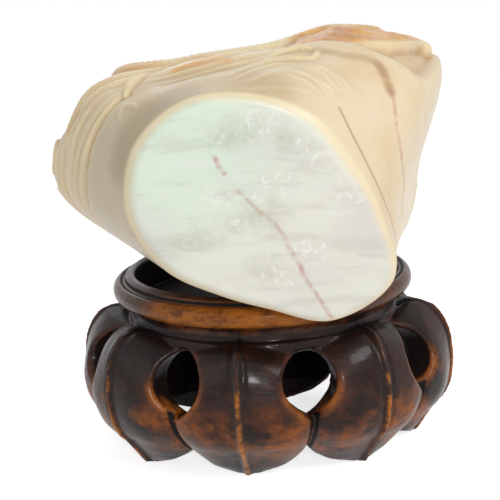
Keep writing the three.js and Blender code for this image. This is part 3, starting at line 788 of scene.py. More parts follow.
# How far the ground is sunk round clouds, strands and leaves, and the first two's solid and soft
# reach.
CLOUD_HALO, CLOUD_HALO_DEPTH = (1.2, 2.4), 0.8
STRAND_HALO, STRAND_HALO_DEPTH = (4, 8), 0.7
LEAF_HALO_DEPTH = 0.4


def scales(along, aside):
    row = (aside + 1) * SCALE_ROWS / 2
    step = along / SCALE_LENGTH + 0.5 * (np.floor(row) % 2)
    rise = 1 - (step - np.floor(step))
    arch = 1 - (2 * (row - np.floor(row)) - 1) ** 2
    return SCALE_RELIEF * rise * lerp(0.35, 1, arch) * (1 - aside ** 2)


def sink_ground(mask, depth):
    relief[:] -= depth * mask * (1 - carved)


def add_body():
    spine = front_path(SPINE_SHARES, 120)
    raise_ridge(spine, *BODY_RISE, scales)
    lengths = np.concatenate([[0], np.cumsum(np.linalg.norm(np.diff(spine, axis=0), axis=1))])
    for place in np.arange(FIN_PITCH, lengths[-1] - 4 * FIN_PITCH, FIN_PITCH):
        at, ahead = (
            np.array([np.interp(spot, lengths, spine[:, axis]) for axis in range(3)])
            for spot in (place, place + FIN_PITCH / 2)
        )
        way = (ahead - at) / np.linalg.norm(ahead - at)
        nearest = coarse_rows[np.argmin(((skin[coarse_rows] - at) ** 2).sum(1))]
        aside = np.cross(way, skin_normals[nearest])
        root = at + aside * spread_along(place / lengths[-1], SPINE_RADII) * 0.85
        tip = root + aside * FIN_LENGTH - way * FIN_LENGTH * 0.8
        raise_ridge(np.array([root, tip]), *FIN_RISE)


# Each leg as hip, knee and foot, and each claw as how it leaves the foot.
LEG_SHARES = [
    [(-0.5, 0.42), (-0.36, 0.5), (-0.46, 0.56)],
    [(-0.36, 0.82), (-0.4, 0.72), (-0.26, 0.68)],
    [(0.34, 0.82), (0.28, 0.74), (0.12, 0.75)],
    [(0.06, 0.42), (0.12, 0.5), (-0.04, 0.54)],
]
CLAW_TURNS = (-50, -18, 14, 46)
CLAW_LENGTH = 4.2


def add_legs():
    for leg in LEG_SHARES:
        raise_ridge(front_path(leg, 20), *LEG_RISE, scales)
        knee, foot = np.array(leg[1]), np.array(leg[2])
        scale = np.array([STONE_WIDTH / 2, STONE_HEIGHT])
        way = (foot - knee) * scale
        heading = math.atan2(way[1], way[0])
        for turn in np.radians(CLAW_TURNS):
            angles = heading + turn, heading + 2 * turn
            first, second = (np.array([math.cos(angle), math.sin(angle)]) * CLAW_LENGTH for angle in angles)
            claw = [foot, foot + first * 0.6 / scale, foot + (first * 0.6 + second * 0.5) / scale]
            raise_ridge(front_path(claw, 8), *CLAW_RISE)


# The head's parts as a path, its radii and its crest.
HEAD_PARTS = [
    ([(0.06, 0.65), (-0.12, 0.64)], (4.8, 4.6), 0.8),
    ([(-0.1, 0.65), (-0.3, 0.62)], (3.6, 2.5), 0.9),
    ([(-0.06, 0.6), (-0.26, 0.565)], (2.2, 1.5), 0.1),
    ([(-0.29, 0.635), (-0.33, 0.625)], (1.7, 1.5), 1.4),
    ([(-0.02, 0.695), (-0.12, 0.69), (-0.19, 0.665)], (1, 1.5, 0.8), 1.7),
    ([(0.02, 0.6), (0.12, 0.585)], (1.6, 0.9), 0.6),
]
HORN_SHARES = [
    [(0, 0.69), (0.12, 0.735), (0.26, 0.745), (0.32, 0.72)],
    [(0.04, 0.665), (0.2, 0.69), (0.34, 0.69), (0.42, 0.665)],
]
WHISKER_SHARES = [
    [(-0.32, 0.61), (-0.42, 0.58), (-0.4, 0.52), (-0.5, 0.5), (-0.56, 0.53)],
    [(-0.31, 0.645), (-0.42, 0.68), (-0.52, 0.65), (-0.58, 0.69)],
]
MANE_COUNT = 8
MOUTH_SHARES = [(0, 0.605), (-0.16, 0.6), (-0.31, 0.59)]
NOSTRIL_SHARES = (-0.305, 0.63)
EYE_SHARES = (-0.13, 0.662)
PEARL_SHARES = (-0.5, 0.6)


def spot(shares):
    return front_path([shares, (shares[0] + 0.002, shares[1])], 2)


def add_head():
    for shares, radii, top in HEAD_PARTS:
        raise_ridge(front_path(shares, 10), radii, top, HEAD_JOIN)
    cut_groove(front_path(MOUTH_SHARES, 10), *MOUTH_CUT)
    cut_groove(spot(NOSTRIL_SHARES), *NOSTRIL_CUT)
    raise_ridge(spot(EYE_SHARES), *EYE_RISE)
    for strand in range(MANE_COUNT):
        share = strand / (MANE_COUNT - 1)
        root = (0.06 + 0.04 * math.sin(share * math.pi), lerp(0.7, 0.57, share))
        bend = (0.2, lerp(0.745, 0.53, share))
        tip = (0.32, lerp(0.74, 0.565, share))
        raise_ridge(front_path([root, bend, tip], 14), *MANE_RISE)
    for horn in HORN_SHARES:
        raise_ridge(front_path(horn, 18), *HORN_RISE)
    for whisker in WHISKER_SHARES:
        raise_ridge(front_path(whisker, 24), *WHISKER_RISE)
    raise_ridge(spot(PEARL_SHARES), *PEARL_RISE)


# Clouds: two curls that meet in a dip, and a tail, given by middle, size and the tail's side.
FRONT_CLOUD_SHARES = [
    (-0.2, 0.46, 0.036, 1), (0.26, 0.41, 0.036, -1), (-0.56, 0.86, 0.03, 1), (0.02, 0.92, 0.03, 1),
    (0.44, 0.88, 0.03, -1), (-0.14, 0.76, 0.03, 1), (0.56, 0.82, 0.03, -1), (-0.8, 0.5, 0.03, 1),
    (-0.8, 0.74, 0.03, 1), (-0.4, 0.93, 0.026, 1),
]
FLANK_CLOUD_SHARES = [
    (0.5, 0.42, 0.042, 1), (0.54, 0.62, 0.05, -1), (0.6, 0.8, 0.042, 1), (0.97, 0.72, 0.05, -1),
    (0.02, 0.86, 0.036, 1), (0.93, 0.55, 0.042, 1), (0.68, 0.6, 0.05, 1), (0.82, 0.66, 0.05, -1),
    (0.75, 0.84, 0.042, 1),
]
CURL_MIDDLE_SHARE = 1.05
CURL_GROWTH_SHARES = (0.2, 1)
CLOUD_DIP_SHARES = [(-0.75, 1.15), (0, 0.62)]
CLOUD_TAIL_SHARES = [(0, -0.7), (1.3, -1.3), (2.5, -0.95), (3.6, -1.3)]


def cloud_shares(middle, size, turn, across):
    """The paths of a cloud: its two mirrored curls and its tail."""
    angles = np.linspace(0.7 * math.pi, 3.3 * math.pi, 26)
    growth = np.linspace(*CURL_GROWTH_SHARES, len(angles))
    x = np.cos(angles) * growth - CURL_MIDDLE_SHARE
    z = -np.sin(angles) * growth
    curl = np.concatenate([np.stack([x, z], axis=1), CLOUD_DIP_SHARES])
    parts = ((curl, 1), (curl, -1), (np.array(CLOUD_TAIL_SHARES), turn))
    return [np.array(middle) + part * (size * across * side, size) for part, side in parts]


def add_clouds():
    front_across = STONE_HEIGHT / (STONE_WIDTH / 2)
    for x, z, size, turn in FRONT_CLOUD_SHARES:
        for shares in cloud_shares((x, z), size, turn, front_across):
            raise_ridge(front_path(shares, 40), *FRONT_CLOUD_RISE)
    flank_across = STONE_HEIGHT / (math.pi * STONE_WIDTH * 0.8)
    for turns, z, size, turn in FLANK_CLOUD_SHARES:
        paths = [flank_path(shares, 40) for shares in cloud_shares((turns, z), size, turn, flank_across)]
        sink_ground(np.max([path_mask(path, *CLOUD_HALO) for path in paths], axis=0), CLOUD_HALO_DEPTH)
        for path in paths:
            raise_ridge(path, *FLANK_CLOUD_RISE)


# The lower edge of the carving, which the camera sees: long strands that end in a loop,
# a row of curled tufts, flutes that run down the left flank, and leaf forms over them.

# Each strand, flute and leaf as a path round the flank and its full radius.
STRANDS = [
    ([(0.375, 0.25), (0.354, 0.246), (0.329, 0.25), (0.304, 0.276), (0.271, 0.318), (0.235, 0.335)], 2),
    ([
        (0.37, 0.216), (0.356, 0.207), (0.338, 0.2), (0.314, 0.2), (0.286, 0.23), (0.258, 0.26),
        (0.22, 0.295),
    ], 1.7),
    ([(0.36, 0.18), (0.335, 0.145), (0.31, 0.15), (0.286, 0.18), (0.26, 0.215), (0.232, 0.245)], 1.4),
    ([(0.3, 0.1), (0.282, 0.1), (0.268, 0.13), (0.25, 0.175), (0.223, 0.222), (0.2, 0.235)], 1.1),
    ([(0.29, 0.065), (0.275, 0.075), (0.262, 0.105), (0.245, 0.15), (0.225, 0.18), (0.205, 0.185)], 1),
    ([(0.285, 0.03), (0.255, 0.03), (0.231, 0.052), (0.206, 0.066), (0.183, 0.077), (0.17, 0.099)], 1.1),
    ([(0.275, 0.05), (0.25, 0.08), (0.23, 0.12), (0.205, 0.15)], 0.8),
]
STRAND_BAND_SHARES = [(0.37, 0.22), (0.31, 0.22), (0.27, 0.23), (0.22, 0.25)]
HAIRPIN_SHARES = [
    (0.25, 0.18), (0.226, 0.255), (0.205, 0.272), (0.19, 0.262), (0.185, 0.238), (0.191, 0.21),
    (0.215, 0.212), (0.243, 0.19),
]
TUFT_COUNT = 6
TUFT_START_SHARES = ((0.04, 0.12), (0.2, 0.19))
TUFT_END_SHARES = ((0.28, 0.085), (0.4, 0.15))
FLUTES = [
    ([
        (0.371, 0.262), (0.384, 0.232), (0.394, 0.213), (0.41, 0.2), (0.43, 0.203), (0.466, 0.214),
        (0.53, 0.22),
    ], 1.5),
    ([(0.394, 0.2), (0.405, 0.186), (0.42, 0.18), (0.45, 0.184), (0.48, 0.187), (0.53, 0.185)], 1.3),
    ([(0.4, 0.243), (0.425, 0.243), (0.45, 0.247), (0.475, 0.235), (0.51, 0.25)], 1.5),
]
LEAVES = [
    ([(0.36, 0.29), (0.385, 0.275), (0.415, 0.285), (0.45, 0.3)], 2),
    ([(0.35, 0.33), (0.385, 0.32), (0.42, 0.33), (0.46, 0.345)], 2.2),
    ([(0.44, 0.29), (0.47, 0.3), (0.5, 0.29), (0.53, 0.27)], 2),
]
KNOT_SHARES = [(0.37, 0.265), (0.378, 0.245), (0.386, 0.212), (0.391, 0.188)]
UNDERCUT_SHARES = [(0.389, 0.184), (0.4, 0.176), (0.418, 0.163), (0.45, 0.165), (0.5, 0.168)]
CURL_SHARES = [(0.407, 0.09), (0.404, 0.12), (0.396, 0.136), (0.389, 0.12), (0.387, 0.095), (0.393, 0.08)]
LEAF_VEIN_DEPTH = 0.25
LEAF_VEIN_PITCH = 1.9
SLIT_SHARES = [(0.447, 0.283), (0.457, 0.264)]


def between(pair, share):
    return tuple(lerp(np.array(pair[0]), np.array(pair[1]), share))


def add_strands():
    sink_ground(path_mask(flank_path(STRAND_BAND_SHARES, 20), *STRAND_HALO), STRAND_HALO_DEPTH)
    for number, (shares, radius) in enumerate(STRANDS):
        path = flank_path(shares, 48)
        radii = (STRAND_ENDS[0], radius, radius, radius * STRAND_FALL_SHARE, STRAND_ENDS[1])
        raise_ridge(path, radii, *STRAND_RISE)
        if number < 3:
            cut_groove(path + (0, 0, radius * 0.3), *STRAND_CUT)
    raise_ridge(flank_path(HAIRPIN_SHARES, 48), *HAIRPIN_RISE)


def add_tufts():
    for tuft in range(TUFT_COUNT):
        share = tuft / (TUFT_COUNT - 1)
        start, end = between(TUFT_START_SHARES, share), between(TUFT_END_SHARES, share)
        sway = 0.012 * math.sin(tuft * 2.3)
        bend = (lerp(start[0], end[0], 0.5) + 0.03, lerp(start[1], end[1], 0.3) + sway)
        hook = (end[0] + 0.03, end[1] - 0.014 + sway)
        path = front_path([start, bend, end, hook], 24)
        raise_ridge(path, *TUFT_RISE)


def leaf_vein(along, aside):
    """A leaf's engraved middle line and the side veins that leave it."""
    middle = np.exp(-(aside / 0.16) ** 2)
    sides = 0.5 + 0.5 * np.cos((along + 1.6 * np.abs(aside)) / LEAF_VEIN_PITCH * 2 * math.pi)
    return -LEAF_VEIN_DEPTH * (middle + 0.45 * sides ** 4 * (1 - middle) * (1 - aside ** 2))


def add_flutes():
    start, end = FLUTE_ENDS
    for shares, radius in LEAVES:
        path = flank_path(shares, 24)
        sink_ground(path_mask(path, radius, radius), LEAF_HALO_DEPTH)
        raise_ridge(path, (start, radius, radius, end), *LEAF_RISE, leaf_vein)
    for shares, radius in FLUTES:
        path = flank_path(shares, 48)
        cut_groove(path - (0, 0, radius), *FLUTE_CUT)
        raise_ridge(path, (start, radius, radius, end), *FLUTE_RISE)
    cut_groove(flank_path(UNDERCUT_SHARES, 24), *UNDERCUT)
    raise_ridge(flank_path(KNOT_SHARES, 12), *KNOT_RISE)
    raise_ridge(flank_path(CURL_SHARES, 24), *CURL_RISE)
    cut_groove(flank_path(SLIT_SHARES, 6), *SLIT_CUT)


add_clouds()
add_body()
add_legs()
add_head()
add_strands()
add_tufts()
add_flutes()


# Where the veins, the crack and the colours of the stone lie.

def foot_path(shares, steps):
    places = smoothed(shares, steps) * STONE_WIDTH / 2
    return np.column_stack([places, np.zeros(len(places))])


# Coloured lines, in one or more strokes: each stroke's strength, the way it is laid and its steps,
# how far it is solid and how much further it fades, and its path.
STROKES = [
    ("vein", 0.7, foot_path, 12, 0.175, 0.7, [(-0.18, -0.257), (-0.165, -0.22), (-0.146, -0.19)]),
    ("vein", 0.5, foot_path, 12, 0.05, 0.7, [
        (-0.091, -0.109), (-0.04, -0.055), (0.006, -0.007), (0.06, 0.045), (0.099, 0.109),
    ]),
    ("vein", 0.7, foot_path, 12, 0.15, 0.7, [
        (0.099, 0.109), (0.125, 0.175), (0.158, 0.235), (0.175, 0.29), (0.206, 0.342),
    ]),
    ("vein", 0.6, foot_path, 12, 0.1, 0.7, [(0.206, 0.342), (0.235, 0.385), (0.259, 0.437), (0.3, 0.5)]),
    ("pink", 1, flank_path, 60, 0.2, 0.8, [
        (0.101, 0.217), (0.068, 0.174), (0.034, 0.174), (0, 0.19), (-0.03, 0.174),
    ]),
    ("crack", 1, flank_path, 60, 0.06, 0.4, [
        (0.139, 0.079), (0.126, 0.067), (0.11, 0.056), (0.065, 0.043), (0.018, 0.043), (-0.017, 0.054),
        (-0.051, 0.065),
    ]),
    ("olive", 1, flank_path, 40, 0.4, 1.8, [
        (0.184, 0.246), (0.157, 0.249), (0.138, 0.266), (0.128, 0.268), (0.118, 0.249), (0.104, 0.222),
    ]),
    ("russet", 1, flank_path, 12, 0.3, 1.7, [(0.127, 0.267), (0.121, 0.258), (0.116, 0.246)]),
    ("russet", 1, flank_path, 12, 0.3, 1.7, [(0.106, 0.225), (0.103, 0.22), (0.1, 0.215)]),
    ("shade", 1, flank_path, 24, 1.5, 6, [
        (0.33, 0.06), (0.36, 0.06), (0.385, 0.05), (0.41, 0.04), (0.44, 0.03),
    ]),
    ("tan", 1, flank_path, 24, 3, 7, [
        (0.365, 0.15), (0.335, 0.14), (0.305, 0.11), (0.27, 0.07), (0.24, 0.05),
    ]),
    ("brown", 1, front_path, 24, 1.5, 3, [(0.15, 0.36), (0.24, 0.4), (0.33, 0.38), (0.42, 0.4)]),
    ("amber", 1, front_path, 24, 1, 3, [(-0.34, 0.24), (-0.24, 0.23), (-0.16, 0.24)]),
]
# Clusters of scuffs by middle and count.
SCUFF_SHARES = [
    ((-0.19, -0.08), 16), ((0, -0.41), 10), ((0.05, -0.38), 10), ((0.2, -0.25), 7), ((0.34, -0.05), 9),
    ((0.2, 0.18), 14), ((0, -0.12), 8), ((0.14, -0.12), 6), ((-0.12, 0.03), 6), ((0.05, 0.27), 9),
]
SCUFF_SPREAD = 1.7
SCUFF_TURNS = (-55, 35)
SCUFF_LENGTHS = (0.4, 1.6)
SCUFF_STRENGTHS = (0.2, 0.9)
SCUFF_WIDTHS = (0.03, 0.33)
SMUDGE_SHARES = [(-0.28, 0.1), (0, 0.25), (-0.1, -0.36), (0.12, -0.33), (0.02, 0), (-0.06, 0.02)]
SMUDGE_REACH = 6
SMUDGE_SQUEEZE = (0.6, 1.1)
SMUDGE_WANDER = 2
SKIN_COLOUR_SHARES = [
    (0.14, 0.29), (0.37, 0.31), (0.47, 0.36), (0.59, 0.41), (0.64, 0.43), (0.72, 0.5), (0.8, 0.6),
]
MINT_MIDDLE_SHARES = (-0.36, -0.34)
MINT_REACH = (6, 36)
# The left flank's taupe is partly the stone's own tint and partly painted shade.
LEFT_REACH = (-16, 22)
FOOT_FACE_HEIGHT = 0.8
CREASE_DEPTH = 0.5


def stroke_masks():
    masks = {}
    for label, strength, lay, steps, solid, soft, shares in STROKES:
        mask = strength * path_mask(lay(shares, steps), solid, soft)
        masks[label] = np.maximum(masks.get(label, 0), mask)
    return masks


def foot_scuffs():
    """Short white scratches in clusters, where the foot has been chipped by standing."""
    chance = np.random.RandomState(21)
    scuffs = np.zeros(len(skin))
    for middle, count in SCUFF_SHARES:
        for _ in range(count):
            start = np.array(middle) * STONE_WIDTH / 2 + chance.normal(0, SCUFF_SPREAD, 2)
            turn = math.radians(chance.normal(*SCUFF_TURNS))
            length = chance.uniform(*SCUFF_LENGTHS)
            end = start + length * np.array([math.cos(turn), math.sin(turn)])
            path = np.column_stack([np.array([start, end]), np.zeros(2)])
            strength = chance.uniform(*SCUFF_STRENGTHS)
            scuffs = np.maximum(scuffs, strength * path_mask(path, *SCUFF_WIDTHS))
    return scuffs


def foot_smudges():
    """Faint grey-olive clouds in the stone of the foot."""
    wander = SMUDGE_WANDER * lattice_noise(skin, SMUDGE_REACH / 2, 31)
    smudges = np.zeros(len(skin))
    for middle in SMUDGE_SHARES:
        offset = skin[:, :2] - np.array(middle) * STONE_WIDTH / 2
        gap = np.hypot(*(offset * SMUDGE_SQUEEZE).T) + wander
        smudges = np.maximum(smudges, 1 - smooth_step(gap, 0, SMUDGE_REACH))
    return smudges


def stone_attributes():
    grid = relief.reshape(GRID_SHAPE)
    spread = grid
    for reach in (1, 2, 4):
        spread = (
            spread
            + np.roll(spread, reach, axis=1) + np.roll(spread, -reach, axis=1)
            + np.concatenate([np.repeat(spread[:1], reach, 0), spread[:-reach]])
            + np.concatenate([spread[reach:], np.repeat(spread[-1:], reach, 0)])
        ) / 5
    # crease: where the skin lies lower than its surroundings, for painted shade in the carving's creases.
    crease = (spread - grid).ravel() / CREASE_DEPTH
    height = skin[:, 2]
    on_foot = smooth_step(-skin_normals[:, 2], 0.8, 0.99) * (1 - smooth_step(height, 0, FOOT_FACE_HEIGHT))
    edge = 1 - smooth_step(np.abs(height - FOOT_ROUND / 4), FOOT_ROUND / 5, FOOT_ROUND * 0.6)
    over_edge = height_share - np.interp(across_share, *zip(*SKIN_COLOUR_SHARES))
    mint_gap = np.hypot(*(skin[:, :2] - np.array(MINT_MIDDLE_SHARES) * STONE_WIDTH / 2).T)
    masks = stroke_masks()
    return {
        **masks,
        "vein": masks["vein"] * on_foot,
        "foot": on_foot,
        "edge": edge * (1 - on_foot),
        "mint": 1 - smooth_step(mint_gap, *MINT_REACH),
        "scuff": foot_scuffs() * on_foot,
        "smudge": foot_smudges() * on_foot,
        "skin": skin_patch * smooth_step(over_edge, -0.01, 0.02),
        # Painted shade in the creases.
        "crease": np.clip(crease, 0, 1),
        # Raised crests, lightened with painted highlight and wear.
        "crest": np.clip(-crease, 0, 1),
        # Deeper sunk ground is darkened and warmed with painted shade.
        "sunk": np.clip(-relief / GROUND_DEPTH, 0, 1),
        # Left flank: partly the stone's taupe tint, partly painted shade.
        "left": smooth_step(-skin[:, 0], *LEFT_REACH) * smooth_step(0.3 - height_share, 0.02, 0.2),
        "carved": carved,
    }


def stone_faces(rows, around):
    first = np.arange(rows * around).reshape(rows, around)
    east = np.roll(first, -1, axis=1)
    quads = np.stack([first[:-1], first[1:], east[1:], east[:-1]], axis=-1).reshape(-1, 4)
    foot, crown = rows * around, rows * around + 1
    bottom = np.stack([np.full(around, foot), first[0], east[0]], axis=1)
    top = np.stack([np.full(around, crown), east[-1], first[-1]], axis=1)
    return [quads, bottom, top]


def lay_down(points):
    """From the standing stone to its place on the stand, by the box of its CAD solid."""
    turn = np.array(turned(STONE_TURN, "Z") @ turned(STONE_TILT - 90, "X"))[:3, :3]
    laid = skin @ turn.T
    low, high = (np.array(corner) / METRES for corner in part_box("stone_carving"))
    shift = (low + high) / 2 - (laid.min(0) + laid.max(0)) / 2
    return points @ turn.T + shift


def make_stone(material):
    points = skin + skin_normals * relief[:, None]
    poles = np.array([(0, 0, 0), (0, 0, STONE_HEIGHT)], float)
    attributes = {
        label: np.concatenate([values, values[[0, -1]]])
        for label, values in stone_attributes().items()
    }
    place = lay_down(np.concatenate([points, poles]))
    make_piece(
        "soapstone_dragon_carving", place, stone_faces(*GRID_SHAPE), attributes,
        material, "stone", "stone_carving",
    )


# Materials.

def colour(red, green, blue):
    """A linear colour from one written as 0 to 255 on a screen."""
    shares = np.array([red, green, blue]) / 255
    linear = np.where(shares <= 0.04045, shares / 12.92, ((shares + 0.055) / 1.055) ** 2.4)
    return (*linear, 1)


class Nodes:
    """The nodes of a material or world. Each call adds some and gives back the socket they feed."""

    def __init__(self, owner, shader="Principled BSDF", noises=()):
        owner.use_nodes = True
        self.owner, self.tree = owner, owner.node_tree
        self.shader = self.tree.nodes[shader]
        self.noises = {name: self.noise(*settings) for name, *settings in noises}
        self.masks = {}

    def join(self, socket, value):
        if isinstance(value, bpy.types.NodeSocket):
            self.tree.links.new(value, socket)
        elif value is not None:
            socket.default_value = value

    def add(self, kind, inputs, output=0, **settings):
        node = self.tree.nodes.new(kind)
        for setting, value in settings.items():
            setattr(node, setting, value)
        for name, value in inputs.items():
            self.join(node.inputs[name], value)
        return node.outputs[output]

    def attribute(self, name):
        return self.add("ShaderNodeAttribute", {}, "Fac", attribute_name=name)

    def noise(self, length, detail, roughness, shift=0, stretch=(1, 1, 1)):
        place = self.add("ShaderNodeTexCoord", {}, "Object")
        place = self.add(
            "ShaderNodeMapping", {"Vector": place, "Location": (shift,) * 3, "Scale": stretch}
        )
        scale = 1 / (length * METRES)
        inputs = {"Vector": place, "Scale": scale, "Detail": detail, "Roughness": roughness}
        return self.add("ShaderNodeTexNoise", inputs)

    def math(self, operation, first, second=None):
        return self.add("ShaderNodeMath", {0: first, 1: second}, operation=operation)

    def fit(self, value, low, high, to_low=0.0, to_high=1.0):
        inputs = {"Value": value, "From Min": low, "From Max": high, "To Min": to_low, "To Max": to_high}
        return self.add("ShaderNodeMapRange", inputs, interpolation_type="SMOOTHSTEP")

    def mix(self, factor, first, second):
        return self.add("ShaderNodeMixRGB", {"Fac": factor, "Color1": first, "Color2": second})

    def layers(self, base, tints):
        """A base with tints over it. Each has a colour, a mask or none, a strength and patches."""
        for tone, mask, factor, *patches in tints:
            if mask:
                factor = self.math("MULTIPLY", self.masks.get(mask) or self.attribute(mask), factor)
            for noise, *limits in patches:
                factor = self.math("MULTIPLY", self.fit(self.noises[noise], *limits), factor)
            base = self.mix(factor, base, colour(*tone))
        return base

    def bumps(self, rows):
        """Bumps over each other, each by a noise, with a strength and a height."""
        surface = None
        for noise, strength, height in rows:
            inputs = {"Height": self.noises[noise], "Strength": strength, "Distance": height * METRES}
            surface = self.add("ShaderNodeBump", {**inputs, "Normal": surface})
        return surface

    def seen(self):
        """1 for what the camera, a reflection or a clear body shows, 0 for what lights the object."""
        kinds = ("Is Camera Ray", "Is Glossy Ray", "Is Transmission Ray")
        camera, glossy, clear = (self.add("ShaderNodeLightPath", {}, kind) for kind in kinds)
        return self.math("MAXIMUM", self.math("MAXIMUM", camera, glossy), clear)

    def finish(self, **inputs):
        for name, value in inputs.items():
            self.join(self.shader.inputs[name.replace("_", " ")], value)
        return self.owner


# Noises by name, with the length of their features, detail, roughness, shift and stretch.
WOOD_NOISES = [
    ("blotch", 13, 5, 0.6),
    ("patches", 5, 5, 0.65, 3),
    ("grain", 1.6, 6, 0.6, 5, (0.12, 1, 1)),
    ("pores", 0.5, 3, 0.6, 7, (0.1, 1, 1)),
]
STONE_NOISES = [
    ("cloudy", 26, 4, 0.5),
    ("mottle", 8, 6, 0.6, 2),
    ("fine", 1.5, 5, 0.65, 4),
    ("streaks", 6, 6, 0.6, 6, (1, 1, 0.25)),
    ("bands", 3, 5, 0.6, 8, (0.2, 1, 1)),
    ("broken", 3, 4, 0.7, 9),
]

# Tints from the lowest layer up, each by colour, mask, strength and the patches it comes in.
WOOD_COLOUR = (30, 17, 14)
WOOD_TINTS = [
    ((58, 33, 27), None, 1, ("blotch", 0.35, 0.65)),
    ((88, 45, 25), None, 0.6, ("patches", 0.5, 0.75)),
    ((124, 66, 30), "rubbed", 1, ("patches", 0.38, 0.62, 0.05, 0.7)),
    ((152, 82, 26), "belly", 1, ("blotch", 0.4, 0.6), ("patches", 0.35, 0.62, 0.3, 1)),
    ((170, 98, 28), "bead", 1, ("patches", 0.32, 0.58, 0.4, 1)),
    ((154, 86, 32), "piercing", 1, ("blotch", 0.38, 0.58, 0.15, 0.95)),
    ((196, 118, 40), "rib", 1, ("patches", 0.4, 0.56, 0.05, 1)),
    # Painted shade and dirt in the hollows, the neck, the underside and the recess.
    ((13, 7, 7), "dirt", 1),
    ((22, 11, 9), None, 0.45, ("grain", 0.52, 0.62)),
    ((14, 7, 6), None, 0.5, ("pores", 0.6, 0.68)),
]
FLANK_COLOUR = (242, 222, 186)
FLANK_TINTS = [
    ((236, 210, 168), None, 1, ("cloudy", 0.35, 0.65)),
    ((245, 228, 202), None, 0.5, ("mottle", 0.4, 0.7)),
    ((230, 192, 146), None, 0.4, ("streaks", 0.58, 0.72)),
    # Taupe on the left flank: partly the stone's tint, partly painted shade.
    ((206, 192, 164), "left", 0.85),
    ((172, 153, 122), "shade", 0.6),
    ((212, 186, 144), "tan", 0.7),
    ((246, 234, 198), "edge", 0.7),
]
FOOT_COLOUR = (236, 236, 222)
FOOT_TINTS = [
    ((228, 223, 216), None, 1, ("cloudy", 0.38, 0.62)),
    ((224, 243, 222), "mint", 0.75),
    ((240, 240, 234), None, 0.4, ("bands", 0.5, 0.7)),
    ((206, 200, 190), None, 0.35, ("bands", 0.5, 0.34)),
    ((176, 170, 146), "smudge", 0.38, ("fine", 0.3, 0.65, 0.3, 1)),
    ((252, 252, 247), "scuff", 0.85),
]
# Painted highlight and wear on the carving's raised crests.
CREST_TINTS = [((246, 228, 180), "crest", 1, ("mottle", 0.35, 0.65, 0.4, 1))]
SKIN_COLOUR = (244, 184, 100)
SKIN_TINTS = [((206, 130, 56), None, 1, ("mottle", 0.35, 0.65))]
SKIN_PATCHES = (0.3, 0.55, 0.65, 1)
LINE_TINTS = [
    ((192, 132, 62), "brown", 0.6),
    ((226, 172, 108), "carved", 0.7, ("cloudy", 0.45, 0.6)),
    ((228, 170, 104), "amber", 0.75),
    ((190, 158, 106), "olive", 0.5),
    # Painted shade in the carving's creases.
    ((166, 136, 88), "crease", 0.5),
    # Painted shade, darker and warmer the deeper the ground is sunk.
    ((212, 170, 118), "sunk", 0.4),
    ((196, 138, 124), "vein", 1, ("broken", 0.4, 0.6, 0.25, 1)),
    ((160, 112, 84), "crack", 0.65),
    ((206, 150, 124), "pink", 0.55, ("broken", 0.4, 0.6, 0.25, 1)),
    ((178, 124, 92), "russet", 0.45, ("streaks", 0.35, 0.6, 0.3, 1)),
]

# Bumps by noise, strength and height.
WOOD_BUMPS = [("grain", 0.25, 0.25), ("pores", 0.3, 0.15), ("patches", 0.25, 0.7)]
STONE_BUMPS = [("fine", 0.12, 0.2), ("mottle", 0.12, 0.5)]

# The deep and hidden places darkened with dirt and painted shade (the neck under the bead, the stand's
# underside, the recess under the stone), with how much of each.
SHADE_AND_DIRT_SHARES = {"neck": 0.7, "underside": 0.85, "recess": 0.9}
SHADE_AND_DIRT_ROUGHNESS = 0.85
GLOW_DEPTH = 3.5


def hardwood():
    wood = Nodes(bpy.data.materials.new("hardwood"), noises=WOOD_NOISES)
    # The darkest layer is painted shade with some dirt, in hollows and in the places hidden from the light.
    dirt = wood.fit(wood.attribute("hollow"), 0.12, 0.6)
    for place, most in SHADE_AND_DIRT_SHARES.items():
        dirt = wood.math("MAXIMUM", dirt, wood.math("MULTIPLY", wood.attribute(place), most))
    wood.masks = {"dirt": dirt, "rubbed": wood.fit(wood.attribute("wear"), 0.2, 0.6)}
    uneven = wood.math(
        "ADD",
        wood.math("MULTIPLY", wood.noises["blotch"], 0.6),
        wood.math("MULTIPLY", wood.noises["patches"], 0.4),
    )
    dull = wood.math("MULTIPLY", dirt, SHADE_AND_DIRT_ROUGHNESS)
    return wood.finish(
        Base_Color=wood.layers(colour(*WOOD_COLOUR), WOOD_TINTS),
        Roughness=wood.math("MAXIMUM", wood.fit(uneven, 0.35, 0.65, 0.22, 0.44), dull),
        Normal=wood.bumps(WOOD_BUMPS),
        Coat_Weight=0.15, Coat_Roughness=0.14, Specular_IOR_Level=0.12,
    )


def soapstone():
    stone = Nodes(bpy.data.materials.new("soapstone"), noises=STONE_NOISES)
    flank = stone.layers(colour(*FLANK_COLOUR), FLANK_TINTS)
    foot = stone.layers(colour(*FOOT_COLOUR), FOOT_TINTS)
    base = stone.layers(stone.mix(stone.attribute("foot"), flank, foot), CREST_TINTS)
    patchy = stone.fit(stone.noises["streaks"], *SKIN_PATCHES)
    patchy = stone.math("MULTIPLY", stone.attribute("skin"), patchy)
    base = stone.mix(patchy, base, stone.layers(colour(*SKIN_COLOUR), SKIN_TINTS))
    return stone.finish(
        Base_Color=stone.layers(base, LINE_TINTS),
        Roughness=stone.fit(stone.noises["fine"], 0.3, 0.7, 0.3, 0.44),
        Normal=stone.bumps(STONE_BUMPS),
        Subsurface_Weight=0.25, Subsurface_Radius=(1, 0.7, 0.45), Subsurface_Scale=GLOW_DEPTH * METRES,
        Coat_Weight=0.1, Coat_Roughness=0.25, Specular_IOR_Level=0.35,
    )


# The camera, the pale floor and the studio light. Their lengths are in metres.

CAMERA_RANGE = (0.01, 100)
WORLD_LIGHT = 0.3
WHITE = colour(255, 255, 255)
FLOOR_SPREAD = 6
FLOOR_COLOUR = colour(240, 240, 240)
FLOOR_LIFT = 0.74


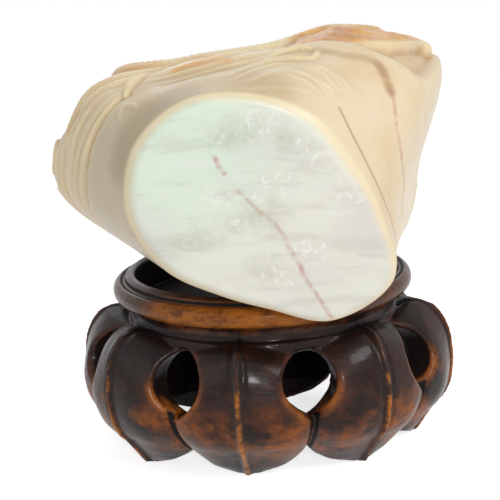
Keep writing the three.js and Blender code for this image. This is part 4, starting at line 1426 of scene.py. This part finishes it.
def add_camera():
    data = bpy.data.cameras.new("camera")
    data.sensor_width, data.lens = SENSOR_WIDTH, FOCAL_LENGTH
    data.clip_start, data.clip_end = CAMERA_RANGE
    camera = add_object("camera", data)
    place = Vector(STAND_CENTRE + np.array(CAMERA_PLACE)) * METRES
    turn = turned(-CAMERA_YAW, "Z") @ turned(90 - CAMERA_PITCH, "X") @ turned(CAMERA_ROLL, "Z")
    camera.matrix_world = Matrix.Translation(place) @ turn
    bpy.context.scene.camera = camera


def add_world():
    world = bpy.data.worlds.new("studio")
    bpy.context.scene.world = world
    nodes = Nodes(world, "Background")
    nodes.finish(Color=WHITE, Strength=nodes.fit(nodes.seen(), 0, 1, WORLD_LIGHT, 1))


def add_floor():
    mesh = bpy.data.meshes.new("floor")
    half = FLOOR_SPREAD / 2
    corners = [(-half, -half, 0), (half, -half, 0), (half, half, 0), (-half, half, 0)]
    mesh.from_pydata(corners, [], [(0, 1, 2, 3)])
    nodes = Nodes(bpy.data.materials.new("floor"))
    mesh.materials.append(nodes.finish(
        Base_Color=FLOOR_COLOUR, Roughness=0.9, Specular_IOR_Level=0, Emission_Color=WHITE,
        Emission_Strength=nodes.math("MULTIPLY", nodes.seen(), FLOOR_LIFT),
    ))
    add_object("floor", mesh)


# Each lamp by its place from the stand, its width and its power in watts.
LAMPS = {
    "key": ((0.55, -0.6, 0.7), 0.4, 3.4),
    "fill": ((-0.8, -0.45, 0.45), 0.7, 0.8),
    "front": ((0.12, -0.9, 0.34), 0.14, 2.3),
    "back": ((-0.2, 0.8, 0.6), 0.6, 0.9),
}
LAMP_AIM = 0.05


def add_lamps():
    for name, (place, width, power) in LAMPS.items():
        data = bpy.data.lights.new(name, "AREA")
        data.shape, data.size, data.energy = "DISK", width, power
        lamp = add_object(name, data)
        lamp.location = place
        aim = Vector((0, 0, LAMP_AIM)) - lamp.location
        lamp.rotation_mode = "QUATERNION"
        lamp.rotation_quaternion = aim.to_track_quat("-Z", "Y")


make_stand(hardwood())
make_stone(soapstone())
add_camera()
add_world()
add_floor()
add_lamps()
bpy.context.scene.view_settings.view_transform = "Standard"
